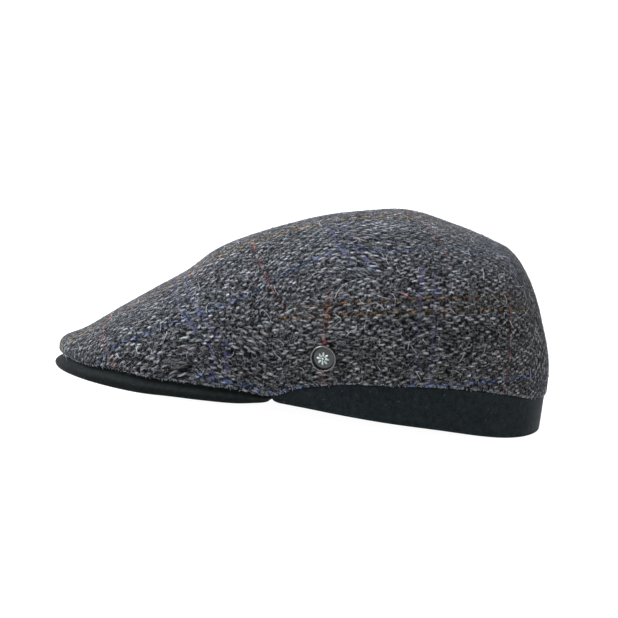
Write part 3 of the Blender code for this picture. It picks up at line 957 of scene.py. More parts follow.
def deselect_all():
    """Leave nothing selected."""
    if bpy.context.object and bpy.context.object.mode != "OBJECT":
        bpy.ops.object.mode_set(mode="OBJECT")
    bpy.ops.object.select_all(action="DESELECT")


def edit_whole():
    """Enter edit mode on the active object with all of it selected."""
    bpy.ops.object.mode_set(mode="EDIT")
    bpy.ops.mesh.select_mode(type="VERT")
    bpy.ops.mesh.select_all(action="SELECT")


def close_up():
    """Merge doubled points of the active mesh and turn its faces outward."""
    edit_whole()
    bpy.ops.mesh.remove_doubles(threshold=MERGE_DISTANCE)
    bpy.ops.mesh.normals_make_consistent(inside=False)
    bpy.ops.object.mode_set(mode="OBJECT")


def add_tube(name, loops, cloth):
    """One closed piece from rows of points round it, whose first and last rows are single points."""
    rows, count, _ = loops.shape
    deselect_all()
    bpy.ops.mesh.primitive_grid_add(x_subdivisions=count, y_subdivisions=rows - 1, size=1.0)
    item = bpy.context.object
    name_piece(item, name)
    mesh = item.data
    places = np.concatenate([loops, loops[:, :1]], axis=1)
    mesh.vertices.foreach_set("co", places.astype(np.float32).ravel())
    threads = np.concatenate([cloth, cloth[:, :1]], axis=1).reshape(-1, 2)
    corners = np.empty(len(mesh.loops), np.int32)
    mesh.loops.foreach_get("vertex_index", corners)
    mesh.uv_layers.active.data.foreach_set("uv", threads[corners].astype(np.float32).ravel())
    mesh.update()
    close_up()
    bpy.ops.object.shade_smooth()
    return item


def round_ends(loops, cloth, reach):
    """Add rows that close both ends of a tube with a rounded cap."""
    turns = np.linspace(0.0, math.pi / 2, END_STEPS + 1)[1:]

    def cap(first, second):
        centre = first.mean(axis=0)
        away = unit(centre - second.mean(axis=0))
        return [
            centre + (first - centre) * math.cos(turn) + away * reach * math.sin(turn)
            for turn in turns
        ]

    start = cap(loops[0], loops[1])[::-1]
    end = cap(loops[-1], loops[-2])
    start[0] = np.repeat(start[0].mean(axis=0, keepdims=True), loops.shape[1], axis=0)
    end[-1] = np.repeat(end[-1].mean(axis=0, keepdims=True), loops.shape[1], axis=0)
    rows = np.concatenate([np.array(start), loops, np.array(end)])
    first = np.repeat(cloth[:1], len(start), axis=0)
    last = np.repeat(cloth[-1:], len(end), axis=0)
    return rows, np.concatenate([first, cloth, last])


def finish_piece(item, material, node):
    """Give a piece its material and put it in the place of its solid."""
    item.data.materials.clear()
    item.data.materials.append(material)
    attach(item, BODY)
    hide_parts(node)


class Field:
    """A number that varies over a surface, held as the output of a shader node."""

    def __init__(self, tree, socket):
        self.tree = tree
        self.socket = socket

    def math(self, operation, *others):
        """A math node on this field and others."""
        node = self.tree.nodes.new("ShaderNodeMath")
        node.operation = operation
        for place, value in zip(node.inputs, (self, *others)):
            plug(self.tree, place, value)
        return Field(self.tree, node.outputs[0])

    def __add__(self, other):
        return self.math("ADD", other)

    def __sub__(self, other):
        return self.math("SUBTRACT", other)

    def __mul__(self, other):
        return self.math("MULTIPLY", other)

    def __truediv__(self, other):
        return self.math("DIVIDE", other)

    def __mod__(self, other):
        return self.math("FLOORED_MODULO", other)

    def __pow__(self, other):
        return self.math("POWER", other)

    def invert(self):
        """One minus this field."""
        return self * -1.0 + 1.0

    def floor(self):
        """The whole number below."""
        return self.math("FLOOR")

    def above(self, limit):
        """1 where the field is over the limit, otherwise 0."""
        return self.math("GREATER_THAN", limit)

    def clamp(self):
        """The field held between 0 and 1."""
        low = self.math("MAXIMUM", 0.0)
        return low.math("MINIMUM", 1.0)

    def ridge(self, power=2.0):
        """Rounded profile that is 1 in the middle of 0 to 1 and 0 at both ends."""
        offset = (self * 2.0 - 1.0).math("ABSOLUTE")
        return (offset ** power).invert().clamp()

    def ramp(self, low, high, start=0.0, end=1.0):
        """Straight ramp from start at low to end at high, held at both ends."""
        node = self.tree.nodes.new("ShaderNodeMapRange")
        for place, value in zip(node.inputs, (self, low, high, start, end)):
            plug(self.tree, place, value)
        return Field(self.tree, node.outputs[0])


def plug(tree, place, value):
    """Put a number or a field into a node's input."""
    if isinstance(value, Field):
        tree.links.new(value.socket, place)
    else:
        place.default_value = value


def combine(tree, x, y, z=0.0):
    """A vector made of three fields."""
    node = tree.nodes.new("ShaderNodeCombineXYZ")
    for place, value in zip(node.inputs, (x, y, z)):
        plug(tree, place, value)
    return Field(tree, node.outputs[0])


def split(tree, vector):
    """The three fields of a vector."""
    node = tree.nodes.new("ShaderNodeSeparateXYZ")
    plug(tree, node.inputs[0], vector)
    return [Field(tree, output) for output in node.outputs]


def clouds(tree, vector, scale, detail=2.0, roughness=0.5):
    """Soft noise: its value, and three independent fields."""
    node = tree.nodes.new("ShaderNodeTexNoise")
    plug(tree, node.inputs["Vector"], vector)
    node.inputs["Scale"].default_value = scale
    node.inputs["Detail"].default_value = detail
    node.inputs["Roughness"].default_value = roughness
    return Field(tree, node.outputs["Fac"]), split(tree, Field(tree, node.outputs["Color"]))


def dice(tree, x, y, z=0.0):
    """Random numbers, one set for each whole place: three independent fields."""
    node = tree.nodes.new("ShaderNodeTexWhiteNoise")
    node.noise_dimensions = "3D"
    plug(tree, node.inputs["Vector"], combine(tree, x, y, z))
    return split(tree, Field(tree, node.outputs["Color"]))


def blend_number(share, low, high):
    """Number between two others."""
    return low + (high - low) * share


def blend_colour(tree, share, low, high, mode="MIX"):
    """Colour between two others."""
    node = tree.nodes.new("ShaderNodeMix")
    node.data_type = "RGBA"
    node.blend_type = mode
    plug(tree, node.inputs[0], share)
    for place, value in ((node.inputs[6], low), (node.inputs[7], high)):
        if isinstance(value, Field):
            tree.links.new(value.socket, place)
        else:
            place.default_value = (*value, 1.0)
    return Field(tree, node.outputs[2])


def shaded(tree, colour, shades):
    """A colour with each of its three parts multiplied by a shade."""
    return blend_colour(tree, 1.0, colour, combine(tree, *shades), "MULTIPLY")


def dimmed(colour, share):
    """A colour at a share of its strength."""
    return [part * share for part in colour]


def add_mottle(tree, shader, tone, colour, darkest):
    """Paint a surface in a colour that a field darkens to a share of it."""
    plug(tree, shader.inputs["Base Color"], blend_colour(tree, tone, dimmed(colour, darkest), colour))


def object_place(tree):
    """The place of each point on its piece."""
    node = tree.nodes.new("ShaderNodeTexCoord")
    return Field(tree, node.outputs["Object"])


def new_material(name, roughness=0.5, metallic=0.0):
    """A material with its shader."""
    material = bpy.data.materials.new(name)
    material.use_nodes = True
    shader = material.node_tree.nodes["Principled BSDF"]
    shader.inputs["Roughness"].default_value = roughness
    shader.inputs["Metallic"].default_value = metallic
    return material, material.node_tree, shader


def add_relief(tree, shader, height, distance):
    """Raise a surface by a field."""
    bump = tree.nodes.new("ShaderNodeBump")
    bump.inputs["Strength"].default_value = 1.0
    bump.inputs["Distance"].default_value = distance
    plug(tree, bump.inputs["Height"], height)
    tree.links.new(bump.outputs["Normal"], shader.inputs["Normal"])


def add_nap(shader, sheen, tint, specular):
    """Give cloth the soft sheen of its raised fibres and a dull surface."""
    shader.inputs["Sheen Weight"].default_value = sheen
    shader.inputs["Sheen Roughness"].default_value = 0.3
    shader.inputs["Sheen Tint"].default_value = (*tint, 1.0)
    shader.inputs["Specular IOR Level"].default_value = specular


def wisps(tree, place, scale, width):
    """Broken thin curly lines, as single fibres make: 1 on a line, otherwise 0."""
    field, _ = clouds(tree, place, scale, 1.0)
    patches, _ = clouds(tree, place, scale * 0.6, 0.0)
    line = ((field - 0.5).math("ABSOLUTE") / width).invert().clamp()
    return line * patches.ramp(0.42, 0.55)


def one_of(field, numbers):
    """1 where a whole-number field has one of these numbers, otherwise 0."""
    found = None
    for number in numbers:
        match = field.math("COMPARE", float(number), 0.5)
        found = match if found is None else found + match
    return found.clamp()


def near_line(field, repeat, numbers, reach):
    """1 in the middle of threads with these numbers of a repeat, fading to 0 at a reach either side."""
    closest = None
    for number in numbers:
        away = (field % float(repeat) - (number + 0.5)).math("ABSOLUTE")
        closest = away if closest is None else closest.math("MINIMUM", away)
    return closest.ramp(0.0, reach, 1.0, 0.0)


def wandering_threads(tree, weave):
    """Numbers of the wandering, frayed ends and picks over the cloth, and the place of each point."""
    threads = tree.nodes.new("ShaderNodeUVMap")
    ends, picks, _ = split(tree, Field(tree, threads.outputs["UV"]))
    place = combine(tree, ends * 1.2, picks)
    for scale, reach in ((0.11, weave.wander), (0.6, weave.jitter), (1.9, weave.fray)):
        _, (move_x, move_y, _) = clouds(tree, place, scale, 1.0)
        ends = ends + (move_x - 0.5) * (reach * 2)
        picks = picks + (move_y - 0.5) * (reach * 2)
    return Threads(ends, picks, ends.floor(), picks.floor(), place)


def broken_twill(tree, threads, weave):
    """Which thread lies on top, and the form of each float, no two of them alike."""
    ends, picks, end, pick, _ = threads
    turn = pick % TWILL
    step = turn + turn.above(1.5) - turn.above(2.5) * 2.0
    group = ((ends - step) / TWILL).floor()
    quarter = ends - step - group * TWILL
    luck, bright_luck, reach_luck = dice(tree, group, pick)
    turn_luck, shift_luck, tint_luck = dice(tree, group, pick, 3.0)
    warp_luck, pale_luck, _ = dice(tree, end, (pick / 2.0).floor(), 5.0)
    reach = reach_luck.ramp(0.0, 1.0, *FLOAT_REACH)
    warp_up = quarter.above(reach)
    along = quarter / reach
    slant = turn_luck.ramp(0.0, 1.0, weave.slant - 0.5, weave.slant + 0.5)
    slanted = picks - pick + (along - 0.5) * slant + (shift_luck - 0.5) * 0.35
    weft_form = along.ridge(2.2) * slanted.ridge(1.8)
    warp_form = (ends - end).ridge(2.0) * ((quarter - reach) / (reach * -1.0 + TWILL)).ridge(3.0)
    height = blend_number(warp_up, weft_form * (reach_luck * 0.4 + 0.6), warp_form * 0.35)
    return Floats(
        warp_up, weft_form, warp_form, height,
        luck, bright_luck, turn_luck, tint_luck, warp_luck, pale_luck)


def dyed_threads(tree, threads, floats, orange_painted_light_gain, blue_gain):
    """Colour of the thread on top, with the coloured lines both ways, and painted shade where each float
    dives between its neighbours.
    """
    shades = colours()
    pick_number = threads.pick % float(PICKS_IN_REPEAT)
    end_number = threads.end % float(ENDS_IN_REPEAT)
    orange = one_of(pick_number, ORANGE_PICKS)
    blue = one_of(pick_number, BLUE_PICKS)
    red = one_of(end_number, RED_ENDS)
    purple = one_of(end_number, PURPLE_ENDS)

    dyed = floats.warp_luck.ramp(0.3, 0.7, 0.0, 0.85)
    warp = blend_colour(tree, red * dyed, shades.warp, shades.red)
    warp = blend_colour(tree, purple * dyed, warp, shades.purple)
    shade = floats.warp_luck.ramp(0.0, 1.0, 0.35, 1.3)
    shade = shade + floats.pale_luck.above(0.86) * (red + purple).invert() * 1.6
    # Painted shade: each warp float darkens towards its edges, where it dives between its neighbours
    warp = shaded(tree, warp, [shade * (floats.warp_form * 0.8 + 0.2)] * 3)

    dyed = floats.tint_luck.ramp(0.0, 0.3, 0.75, 1.0)
    rust = blend_colour(tree, floats.turn_luck, shades.orange, shades.gold)
    weft = blend_colour(tree, orange * dyed * 0.8, shades.weft, rust)
    weft = blend_colour(tree, blue * (dyed * 0.25 + 0.5), weft, shades.blue)
    shade = (floats.luck ** 1.3).ramp(0.0, 1.0, 0.16, 0.95) + floats.bright_luck.above(0.95) * 0.45
    # Painted light: the gain makes the orange floats brighter on the top panel and darker on the side
    # panels
    shade = blend_number(orange, shade, (shade * 0.6 + 0.35) * orange_painted_light_gain)
    shade = blend_number(blue, shade, (shade * 0.5 + 0.6) * blue_gain)
    # Painted shade: each weft float darkens towards its ends and sides, where it dives between its
    # neighbours
    weft = shaded(tree, weft, [shade * (floats.weft_form * 0.86 + 0.14)] * 3)
    return blend_colour(tree, floats.warp_up, weft, warp)


def add_halos(tree, thread, threads, halo, orange_painted_light_gain, blue_gain):
    """Tint the cloth beside the coloured threads, in patches."""
    shades = colours()
    spread, _ = clouds(tree, threads.place, 0.55, 1.0)
    spread = spread.ramp(0.42, 0.6, 0.2, 1.0) * halo
    lines = (
        # The orange halo takes the same painted-light gain
        (near_line(threads.picks, PICKS_IN_REPEAT, ORANGE_PICKS, 1.9), shades.gold, 0.30 * orange_painted_light_gain),
        (near_line(threads.picks, PICKS_IN_REPEAT, BLUE_PICKS, 1.9), shades.blue, 0.45 * blue_gain),
        (near_line(threads.ends, ENDS_IN_REPEAT, RED_ENDS, 1.6), shades.red, 0.6),
        (near_line(threads.ends, ENDS_IN_REPEAT, PURPLE_ENDS, 1.6), shades.purple, 0.8),
    )
    for near, colour, strength in lines:
        brightest = max(colour)
        cast = [0.56 + 0.58 * part / brightest for part in colour]
        thread = blend_colour(tree, near * spread, thread, cast, "MULTIPLY")
        thread = blend_colour(tree, near * spread * 0.22, thread, dimmed(colour, strength))
    return thread


def tweed(name, orange_painted_light_gain, blue_gain):
    """Broken twill of pale weft over dark warp, with coloured lines both ways and loose fibres. Shade
    between threads and fibres is painted, and the orange floats are painted brighter on the top panel
    and darker on the side panels, as painted light.
    """
    weave = bpy.context.scene.flat_cap_weave
    material, tree, shader = new_material(name, roughness=0.95)
    threads = wandering_threads(tree, weave)
    floats = broken_twill(tree, threads, weave)
    thread = dyed_threads(tree, threads, floats, orange_painted_light_gain, blue_gain)
    thread = add_halos(tree, thread, threads, weave.halo, orange_painted_light_gain, blue_gain)

    place = threads.place
    grain, _ = clouds(tree, combine(tree, threads.ends * 1.7, threads.picks * 2.2), 1.0, 1.0, 0.7)
    grain = ((grain - 0.5) * (weave.grain * 2) + 1.0).math("MAXIMUM", 0.1)
    # Painted shade in the gaps between fibres; the same field also sinks them in the relief
    pits, _ = clouds(tree, place, 0.8, 1.0)
    pits = pits.ramp(0.36, 0.52, weave.pits, 1.0)
    patch, _ = clouds(tree, place, 0.09, 2.0, 0.6)
    patch = (patch - 0.5) * (weave.heather * 2) + 1.0
    _, tints = clouds(tree, place, 0.35, 1.0)
    shade = grain * patch * pits
    thread = shaded(tree, thread, [shade * (part - 0.5) * (weave.tint * 2) + shade for part in tints])
    wisp = wisps(tree, place, 0.40, 0.035).math("MAXIMUM", wisps(tree, place, 0.75, 0.05))
    thread = blend_colour(tree, wisp * 0.15, thread, colours().hair)
    plug(tree, shader.inputs["Base Color"], thread)
    add_nap(shader, sheen=0.06, tint=TWEED_SHEEN_TINT, specular=0.03)
    add_relief(tree, shader, floats.height + wisp * 0.25 + grain * 0.12 + pits * 0.35, weave.relief)
    return material


def plain_cloth(name, colour, sheen):
    """Fine dark felted cloth with faint mottling."""
    material, tree, shader = new_material(name, roughness=0.85)
    place = object_place(tree)
    mottle, _ = clouds(tree, place, 380.0, 3.0, 0.65)
    nap, _ = clouds(tree, place, 1500.0, 2.0, 0.6)
    drift, _ = clouds(tree, place, 70.0, 2.0)
    lint, _ = clouds(tree, place, 1000.0, 0.0)
    shade = mottle.ramp(0.3, 0.7, 0.6, 1.4) * nap.ramp(0.25, 0.75, 0.5, 1.5)
    shade = shade * drift.ramp(0.3, 0.7, 0.85, 1.15) + lint.ramp(0.80, 0.86, 0.0, 4.0)
    plug(tree, shader.inputs["Base Color"], shaded(tree, colour, [shade] * 3))
    add_nap(shader, sheen=sheen, tint=TRIM_SHEEN_TINT, specular=0.06)
    add_relief(tree, shader, nap + mottle * 0.6, TRIM_RELIEF)
    return material


def metal(name, colour, roughness):
    """Polished metal with fine wear."""
    material, tree, shader = new_material(name, roughness=roughness, metallic=1.0)
    wear, _ = clouds(tree, object_place(tree), 900.0, 3.0, 0.6)
    add_mottle(tree, shader, wear.ramp(0.35, 0.7), colour, 0.75)
    plug(tree, shader.inputs["Roughness"], wear.ramp(0.2, 0.8, roughness * 0.7, roughness * 1.5))
    add_relief(tree, shader, wear, METAL_RELIEF)
    return material


def lacquer(name, colour):
    """Glossy dark lacquer."""
    material, tree, shader = new_material(name, roughness=0.1)
    cloud, _ = clouds(tree, object_place(tree), 500.0, 2.0)
    add_mottle(tree, shader, cloud.ramp(0.3, 0.7), colour, 0.7)
    shader.inputs["Coat Weight"].default_value = 0.2
    shader.inputs["Coat Roughness"].default_value = 0.05
    return material


def fibre_wool(name, colour):
    """Pale wool of loose fibres."""
    material, tree, shader = new_material(name, roughness=0.8)
    tone, _ = clouds(tree, object_place(tree), 400.0, 2.0)
    add_mottle(tree, shader, tone.ramp(0.3, 0.7), colour, 0.35)
    shader.inputs["Specular IOR Level"].default_value = 0.2
    return material


def backdrop_paint(colour, glow):
    """Matt paint that is lit evenly from behind."""
    material, tree, shader = new_material("backdrop_paint", roughness=0.9)
    tone, _ = clouds(tree, object_place(tree), 2.0, 1.0)
    add_mottle(tree, shader, tone, colour, 0.985)
    shader.inputs["Emission Color"].default_value = (*WHITE, 1.0)
    shader.inputs["Emission Strength"].default_value = glow
    return material


def assemble(outer, inner, picked, ends, cloth):
    """Closed sections from the faces of a panel and its two rolled edges."""
    last_edge, first_edge = ends
    parts = [outer]
    parts += [points[:, None] for points in last_edge]
    parts.append(inner[:, picked])
    parts += [points[:, None] for points in reversed(first_edge)]
    threads = [cloth]
    threads += [cloth[:, -1:]] * len(last_edge)
    threads.append(cloth[:, picked])
    threads += [cloth[:, :1]] * len(first_edge)
    return np.concatenate(parts, axis=1), np.concatenate(threads, axis=1)


def kept_points(count, kept):
    """Numbers of the points of an outer face that its inner face keeps, from the last to the first."""
    return np.linspace(count - 1, 0, kept).round().astype(int)


def meet_in_middle(left, right):
    """Bring both ends of two rolled edges together on the middle line."""
    for one, other in zip(left, right):
        for row in (0, -1):
            one[row, 0] = other[row, 0] = 0.0
            one[row] = other[row] = (one[row] + other[row]) / 2


class FLATCAP_OT_crown_top(bpy.types.Operator):
    """Build the top panel of the crown, from the lip at the front to the band at the nape."""

    bl_idname = "flat_cap.crown_top"
    bl_label = "Crown top"

    def execute(self, context):
        station = even_stations(0.0, LAST, TOP_ROWS, share=0.5)
        ruler = RibRuler(station)
        zone = seam_zone(station)
        pull = (sizes().seam_gap / 2 + sizes().seam_roll) * zone / seam_crossing(station)
        pull = pull + sizes().rim_roll * (1 - zone)
        pull = pull / np.maximum(ruler.pace(seam_share(station)), LEAST_PACE)
        limit = seam_share(station) - pull
        share = limit[:, None] * eased_steps(TOP_OUTER)[None, :]
        outer, normal = dressed(station, share, ruler, zone, 1 - zone)
        spine_normal = crown_normals(station, np.zeros_like(station))
        for row in (0, -1):
            outer[row] = outer[row].mean(axis=0)
            normal[row] = spine_normal[row]
        inner = outer - normal * sizes().tweed_wall
        picked = kept_points(TOP_OUTER, TOP_INNER)
        left = rolled_edge(outer[:, -1], inner[:, -1], -normal[:, -1], zone, station)
        right = rolled_edge(outer[:, 0], inner[:, 0], normal[:, 0], zone, station)
        meet_in_middle(left, right)
        cloth = top_cloth(station, share, ruler)
        loops, threads = assemble(outer, inner, picked, (left, right), cloth)
        item = add_tube("crown_top_cloth", loops, threads)
        # The top's orange floats are painted brighter, as painted light from above
        material = tweed("top_tweed", orange_painted_light_gain=1.9, blue_gain=0.65)
        finish_piece(item, material, "crown_top")
        return {"FINISHED"}


class FLATCAP_OT_crown_sides(bpy.types.Operator):
    """Build the two side panels of the crown."""

    bl_idname = "flat_cap.crown_sides"
    bl_label = "Crown sides"

    def execute(self, context):
        # The sides' orange floats are painted darker than the top's, as painted shade
        material = tweed("side_tweed", orange_painted_light_gain=0.72, blue_gain=1.0)
        start = SEAM[0].station + SIDE_INSET
        end = SEAM[-1].station - SIDE_INSET
        station = even_stations(start, end, SIDE_ROWS, share=0.8)
        ruler = RibRuler(station)
        pull = sizes().seam_gap / 2 + sizes().seam_roll
        pull = pull / (ruler.pace(seam_share(station)) * seam_crossing(station))
        low = seam_share(station) + pull
        ones = np.ones_like(station)
        high = 1.0 - sizes().rim_roll / ruler.pace(ones)
        along = (eased_steps(SIDE_OUTER) + 1) / 2
        for side, name in ((1, "left"), (-1, "right")):
            share = (low[:, None] + (high - low)[:, None] * along[None, :]) * side
            outer, normal = dressed(station, share, ruler, ones, ones)
            inner = outer - normal * sizes().tweed_wall
            picked = kept_points(SIDE_OUTER, SIDE_INNER)
            rim = rolled_edge(outer[:, -1], inner[:, -1], -normal[:, -1] * side, ones * 0, station)
            seam = rolled_edge(outer[:, 0], inner[:, 0], normal[:, 0] * side, ones, station)
            cloth = side_cloth(station, share, ruler, side)
            loops, threads = assemble(outer, inner, picked, (rim, seam), cloth)
            loops, threads = round_ends(loops, threads, sizes().tweed_wall / 2)
            item = add_tube(f"crown_side_{name}_cloth", loops, threads)
            finish_piece(item, material, f"crown_side_{name}")
        return {"FINISHED"}


def both_sides(sections):
    """Rows of the left half, given from its end to the middle line, and their mirror image."""
    mirrored = sections[::-1][1:].copy()
    mirrored[..., 0] *= -1
    return np.concatenate([sections, mirrored])


def trim_edges(station):
    """Heights of the lower edge of lip or band, rounded up at the notch, and of its upper edge."""
    top = rim_points(station)[:, 2] - sizes().trim_drop
    hem = hem_height(station)
    return hem + (top - hem) * notch_lift(station), top


def stations_from_notch(start, end, count):
    """Stations from a side of the notch to the middle line, closer together by the notch."""
    fine = np.linspace(start, end, FINE_STEPS)
    travelled = lengths_along(rim_points(fine), 0)
    even = np.linspace(0.0, 1.0, count)
    spread = even * (1 - CROWDING) + CROWDING * even ** 3
    places = np.interp(spread * travelled[-1], travelled, fine)
    places[-1] = end
    return places


def band_heights(depth, turn, fold, width):
    """Heights of the points of the band's faces above its lower edge, with more of them at the fold."""
    rounded = np.linspace(0.0, math.pi / 2, BAND_TURN_STEPS)
    lowest = turn * (1 - np.cos(rounded))
    steps = FOLD_SPACING * np.arange(1, len(FOLD_POINTS) + 1)
    folded = np.maximum(fold + width * np.array(FOLD_POINTS), lowest[:, -1:] + steps)
    above = folded[:, -1:]
    middle = above + (depth - turn - above) * np.linspace(0.0, 1.0, BAND_FACE_STEPS + 1)[1:]
    highest = depth - turn * (1 - np.sin(rounded[1:]))
    return np.concatenate([lowest, folded, middle, highest], axis=1)


def band_sections(station):
    """Closed sections of the band: outer face down, hem, inner face up and top edge."""
    hem, top = trim_edges(station)
    depth = (top - hem)[:, None]
    turn = np.minimum(BAND_TURN, depth * BAND_TURN_LIMIT)
    fold = np.minimum(sizes().hem_line, depth * FOLD_LIMIT)
    width = turn * FOLD_WIDTH
    heights = band_heights(depth, turn, fold, width)
    from_low = np.clip(heights / turn, 0.0, 1.0)
    from_top = np.clip((depth - heights) / turn, 0.0, 1.0)
    inset = sizes().band_wall / 2 * (quarter_round(1 - from_low) + quarter_round(1 - from_top))
    groove = sizes().hem_groove * np.exp(-((heights - fold) / width) ** 2)
    lean = sizes().band_inset + sizes().band_lean * (1 - np.clip(heights / depth, 0.0, 1.0))
    base = (rim_points(station) * LEVEL)[:, None] + UP * (hem[:, None] + heights)[..., None]
    away = outward(station)[:, None]
    outer = base - away * (lean + inset + groove)[..., None]
    inner = base - away * (lean + sizes().band_wall - inset)[..., None]
    return np.concatenate([outer[:, ::-1], inner[:, 1:-1]], axis=1)


def cloth_grid(loops):
    """Plain cloth coordinates of a tube: metres along it and round it."""
    along = lengths_along(loops.mean(axis=1), 0)
    round_it = lengths_along(loops, 1)
    return np.stack(np.broadcast_arrays(along[:, None], round_it), axis=-1)


class FLATCAP_OT_band(bpy.types.Operator):
    """Build the cloth band from notch to notch round the nape."""

    bl_idname = "flat_cap.band"
    bl_label = "Band"

    def execute(self, context):
        station = stations_from_notch(NOTCH + NOTCH_HALF_GAP, LAST, BAND_ROWS)
        loops = both_sides(band_sections(station))
        loops, threads = round_ends(loops, cloth_grid(loops), TRIM_END)
        item = add_tube("band_fold", loops, threads)
        material = plain_cloth("band_cloth", colours().band, sheen=0.13)
        finish_piece(item, material, "band")
        return {"FINISHED"}


def board_edge(along):
    """Inner edge of the board over the forehead: half an oval, arched up towards its middle."""
    notch = rim_points(np.array([NOTCH]))[0]
    front = rim_points(np.array([0.0]))[0, 1] + sizes().peak_length
    turn = along * math.pi / 2
    return np.stack([
        sizes().peak_root_width / 2 * np.sin(turn),
        notch[1] + (front - notch[1]) * np.cos(turn),
        notch[2] - sizes().seam_gap + sizes().peak_arch * np.cos(turn) ** 2,
    ], axis=-1)


def peak_sections(station):
    """Closed sections of the peak: lip from below to its top, board above, its edge and below."""
    hem, top = trim_edges(station)
    away = outward(station)
    along = station / NOTCH
    out = sizes().lip_out + (sizes().lip_out_at_notch - sizes().lip_out) * along ** 2
    out = out * (1.0 - notch_lift(station))
    base = rim_points(station) * LEVEL

    def at(reach, height):
        return base + away * reach[:, None] + UP * (hem + (top - hem) * height)[:, None]

    places = np.linspace(0.0, 1.0, LIP_STEPS)
    swells = smooth(read(LIP_OUTLINE, "up"), read(LIP_OUTLINE, "out"), places)
    points = [at(out * swell, place) for swell, place in zip(swells, places)]
    tuck = np.full_like(out, -sizes().lip_tuck)
    tuck_top = at(tuck, 1.0)
    tuck_low = at(tuck, LIP_TUCK_UP)
    edge_top = board_edge(along) - UP * sizes().trim_drop * (1 - along[:, None])
    inward = unit((edge_top - tuck_top) * LEVEL)
    half = sizes().board / 2
    middle = edge_top - UP * half - inward * half
    for share in np.linspace(0.0, 1.0, BOARD_STEPS + 1)[:-1]:
        points.append(tuck_top + (middle + UP * half - tuck_top) * share)
    for turn in np.linspace(math.pi / 2, -math.pi / 2, BOARD_EDGE_STEPS):
        points.append(middle + UP * half * math.sin(turn) + inward * half * math.cos(turn))
    for share in np.linspace(0.0, 1.0, UNDERSIDE_STEPS + 1)[1:]:
        points.append(middle - UP * half + (tuck_low - middle + UP * half) * share)
    points.append(at(out * LIP_FOOT.out, LIP_FOOT.up))
    return np.stack(points, axis=1)


class FLATCAP_OT_peak(bpy.types.Operator):
    """Build the cloth peak with its rolled lip."""

    bl_idname = "flat_cap.peak"
    bl_label = "Peak"

    def execute(self, context):
        station = stations_from_notch(NOTCH - NOTCH_HALF_GAP, 0.0, PEAK_ROWS)
        loops = both_sides(peak_sections(station))
        loops, threads = round_ends(loops, cloth_grid(loops), TRIM_END)
        item = add_tube("peak_lip", loops, threads)
        material = plain_cloth("peak_cloth", colours().peak, sheen=0.03)
        finish_piece(item, material, "peak")
        return {"FINISHED"}


def badge_place():
    """Place of the badge: its middle on the side panel and its face looking out."""
    station = np.array([BADGE_STATION])
    share = np.array([BADGE_SHARE])
    point = Vector(crown_points(station, share)[0])
    normal = Vector(crown_normals(station, share)[0])
    across = Vector(UP).cross(normal).normalized()
    upright = normal.cross(across)
    turn = Matrix((across, upright, normal)).transposed().to_4x4()
    return Matrix.Translation(point + normal * sizes().badge_seat) @ turn


def pin_to_cap(item):
    """Move a piece made at the origin to the badge's place, in its mesh."""
    item.data.transform(badge_place())
    item.data.update()


def add_ball(segments, rings, half_sizes, place):
    """Ball stretched to these half sizes, made at a place."""
    bpy.ops.mesh.primitive_uv_sphere_add(
        segments=segments, ring_count=rings, radius=1.0, location=(0, 0, 0))
    item = bpy.context.object
    item.scale = half_sizes
    item.location = place
    bpy.ops.object.transform_apply(location=True, rotation=False, scale=True)
    return item


def faces_where(test):
    """Select in edit mode the faces of the active object that pass a test."""
    bpy.ops.object.mode_set(mode="EDIT")
    bpy.ops.mesh.select_mode(type="FACE")
    bpy.ops.mesh.select_all(action="DESELECT")
    bpy.ops.object.mode_set(mode="OBJECT")
    for face in bpy.context.object.data.polygons:
        face.select = test(face)
    bpy.ops.object.mode_set(mode="EDIT")


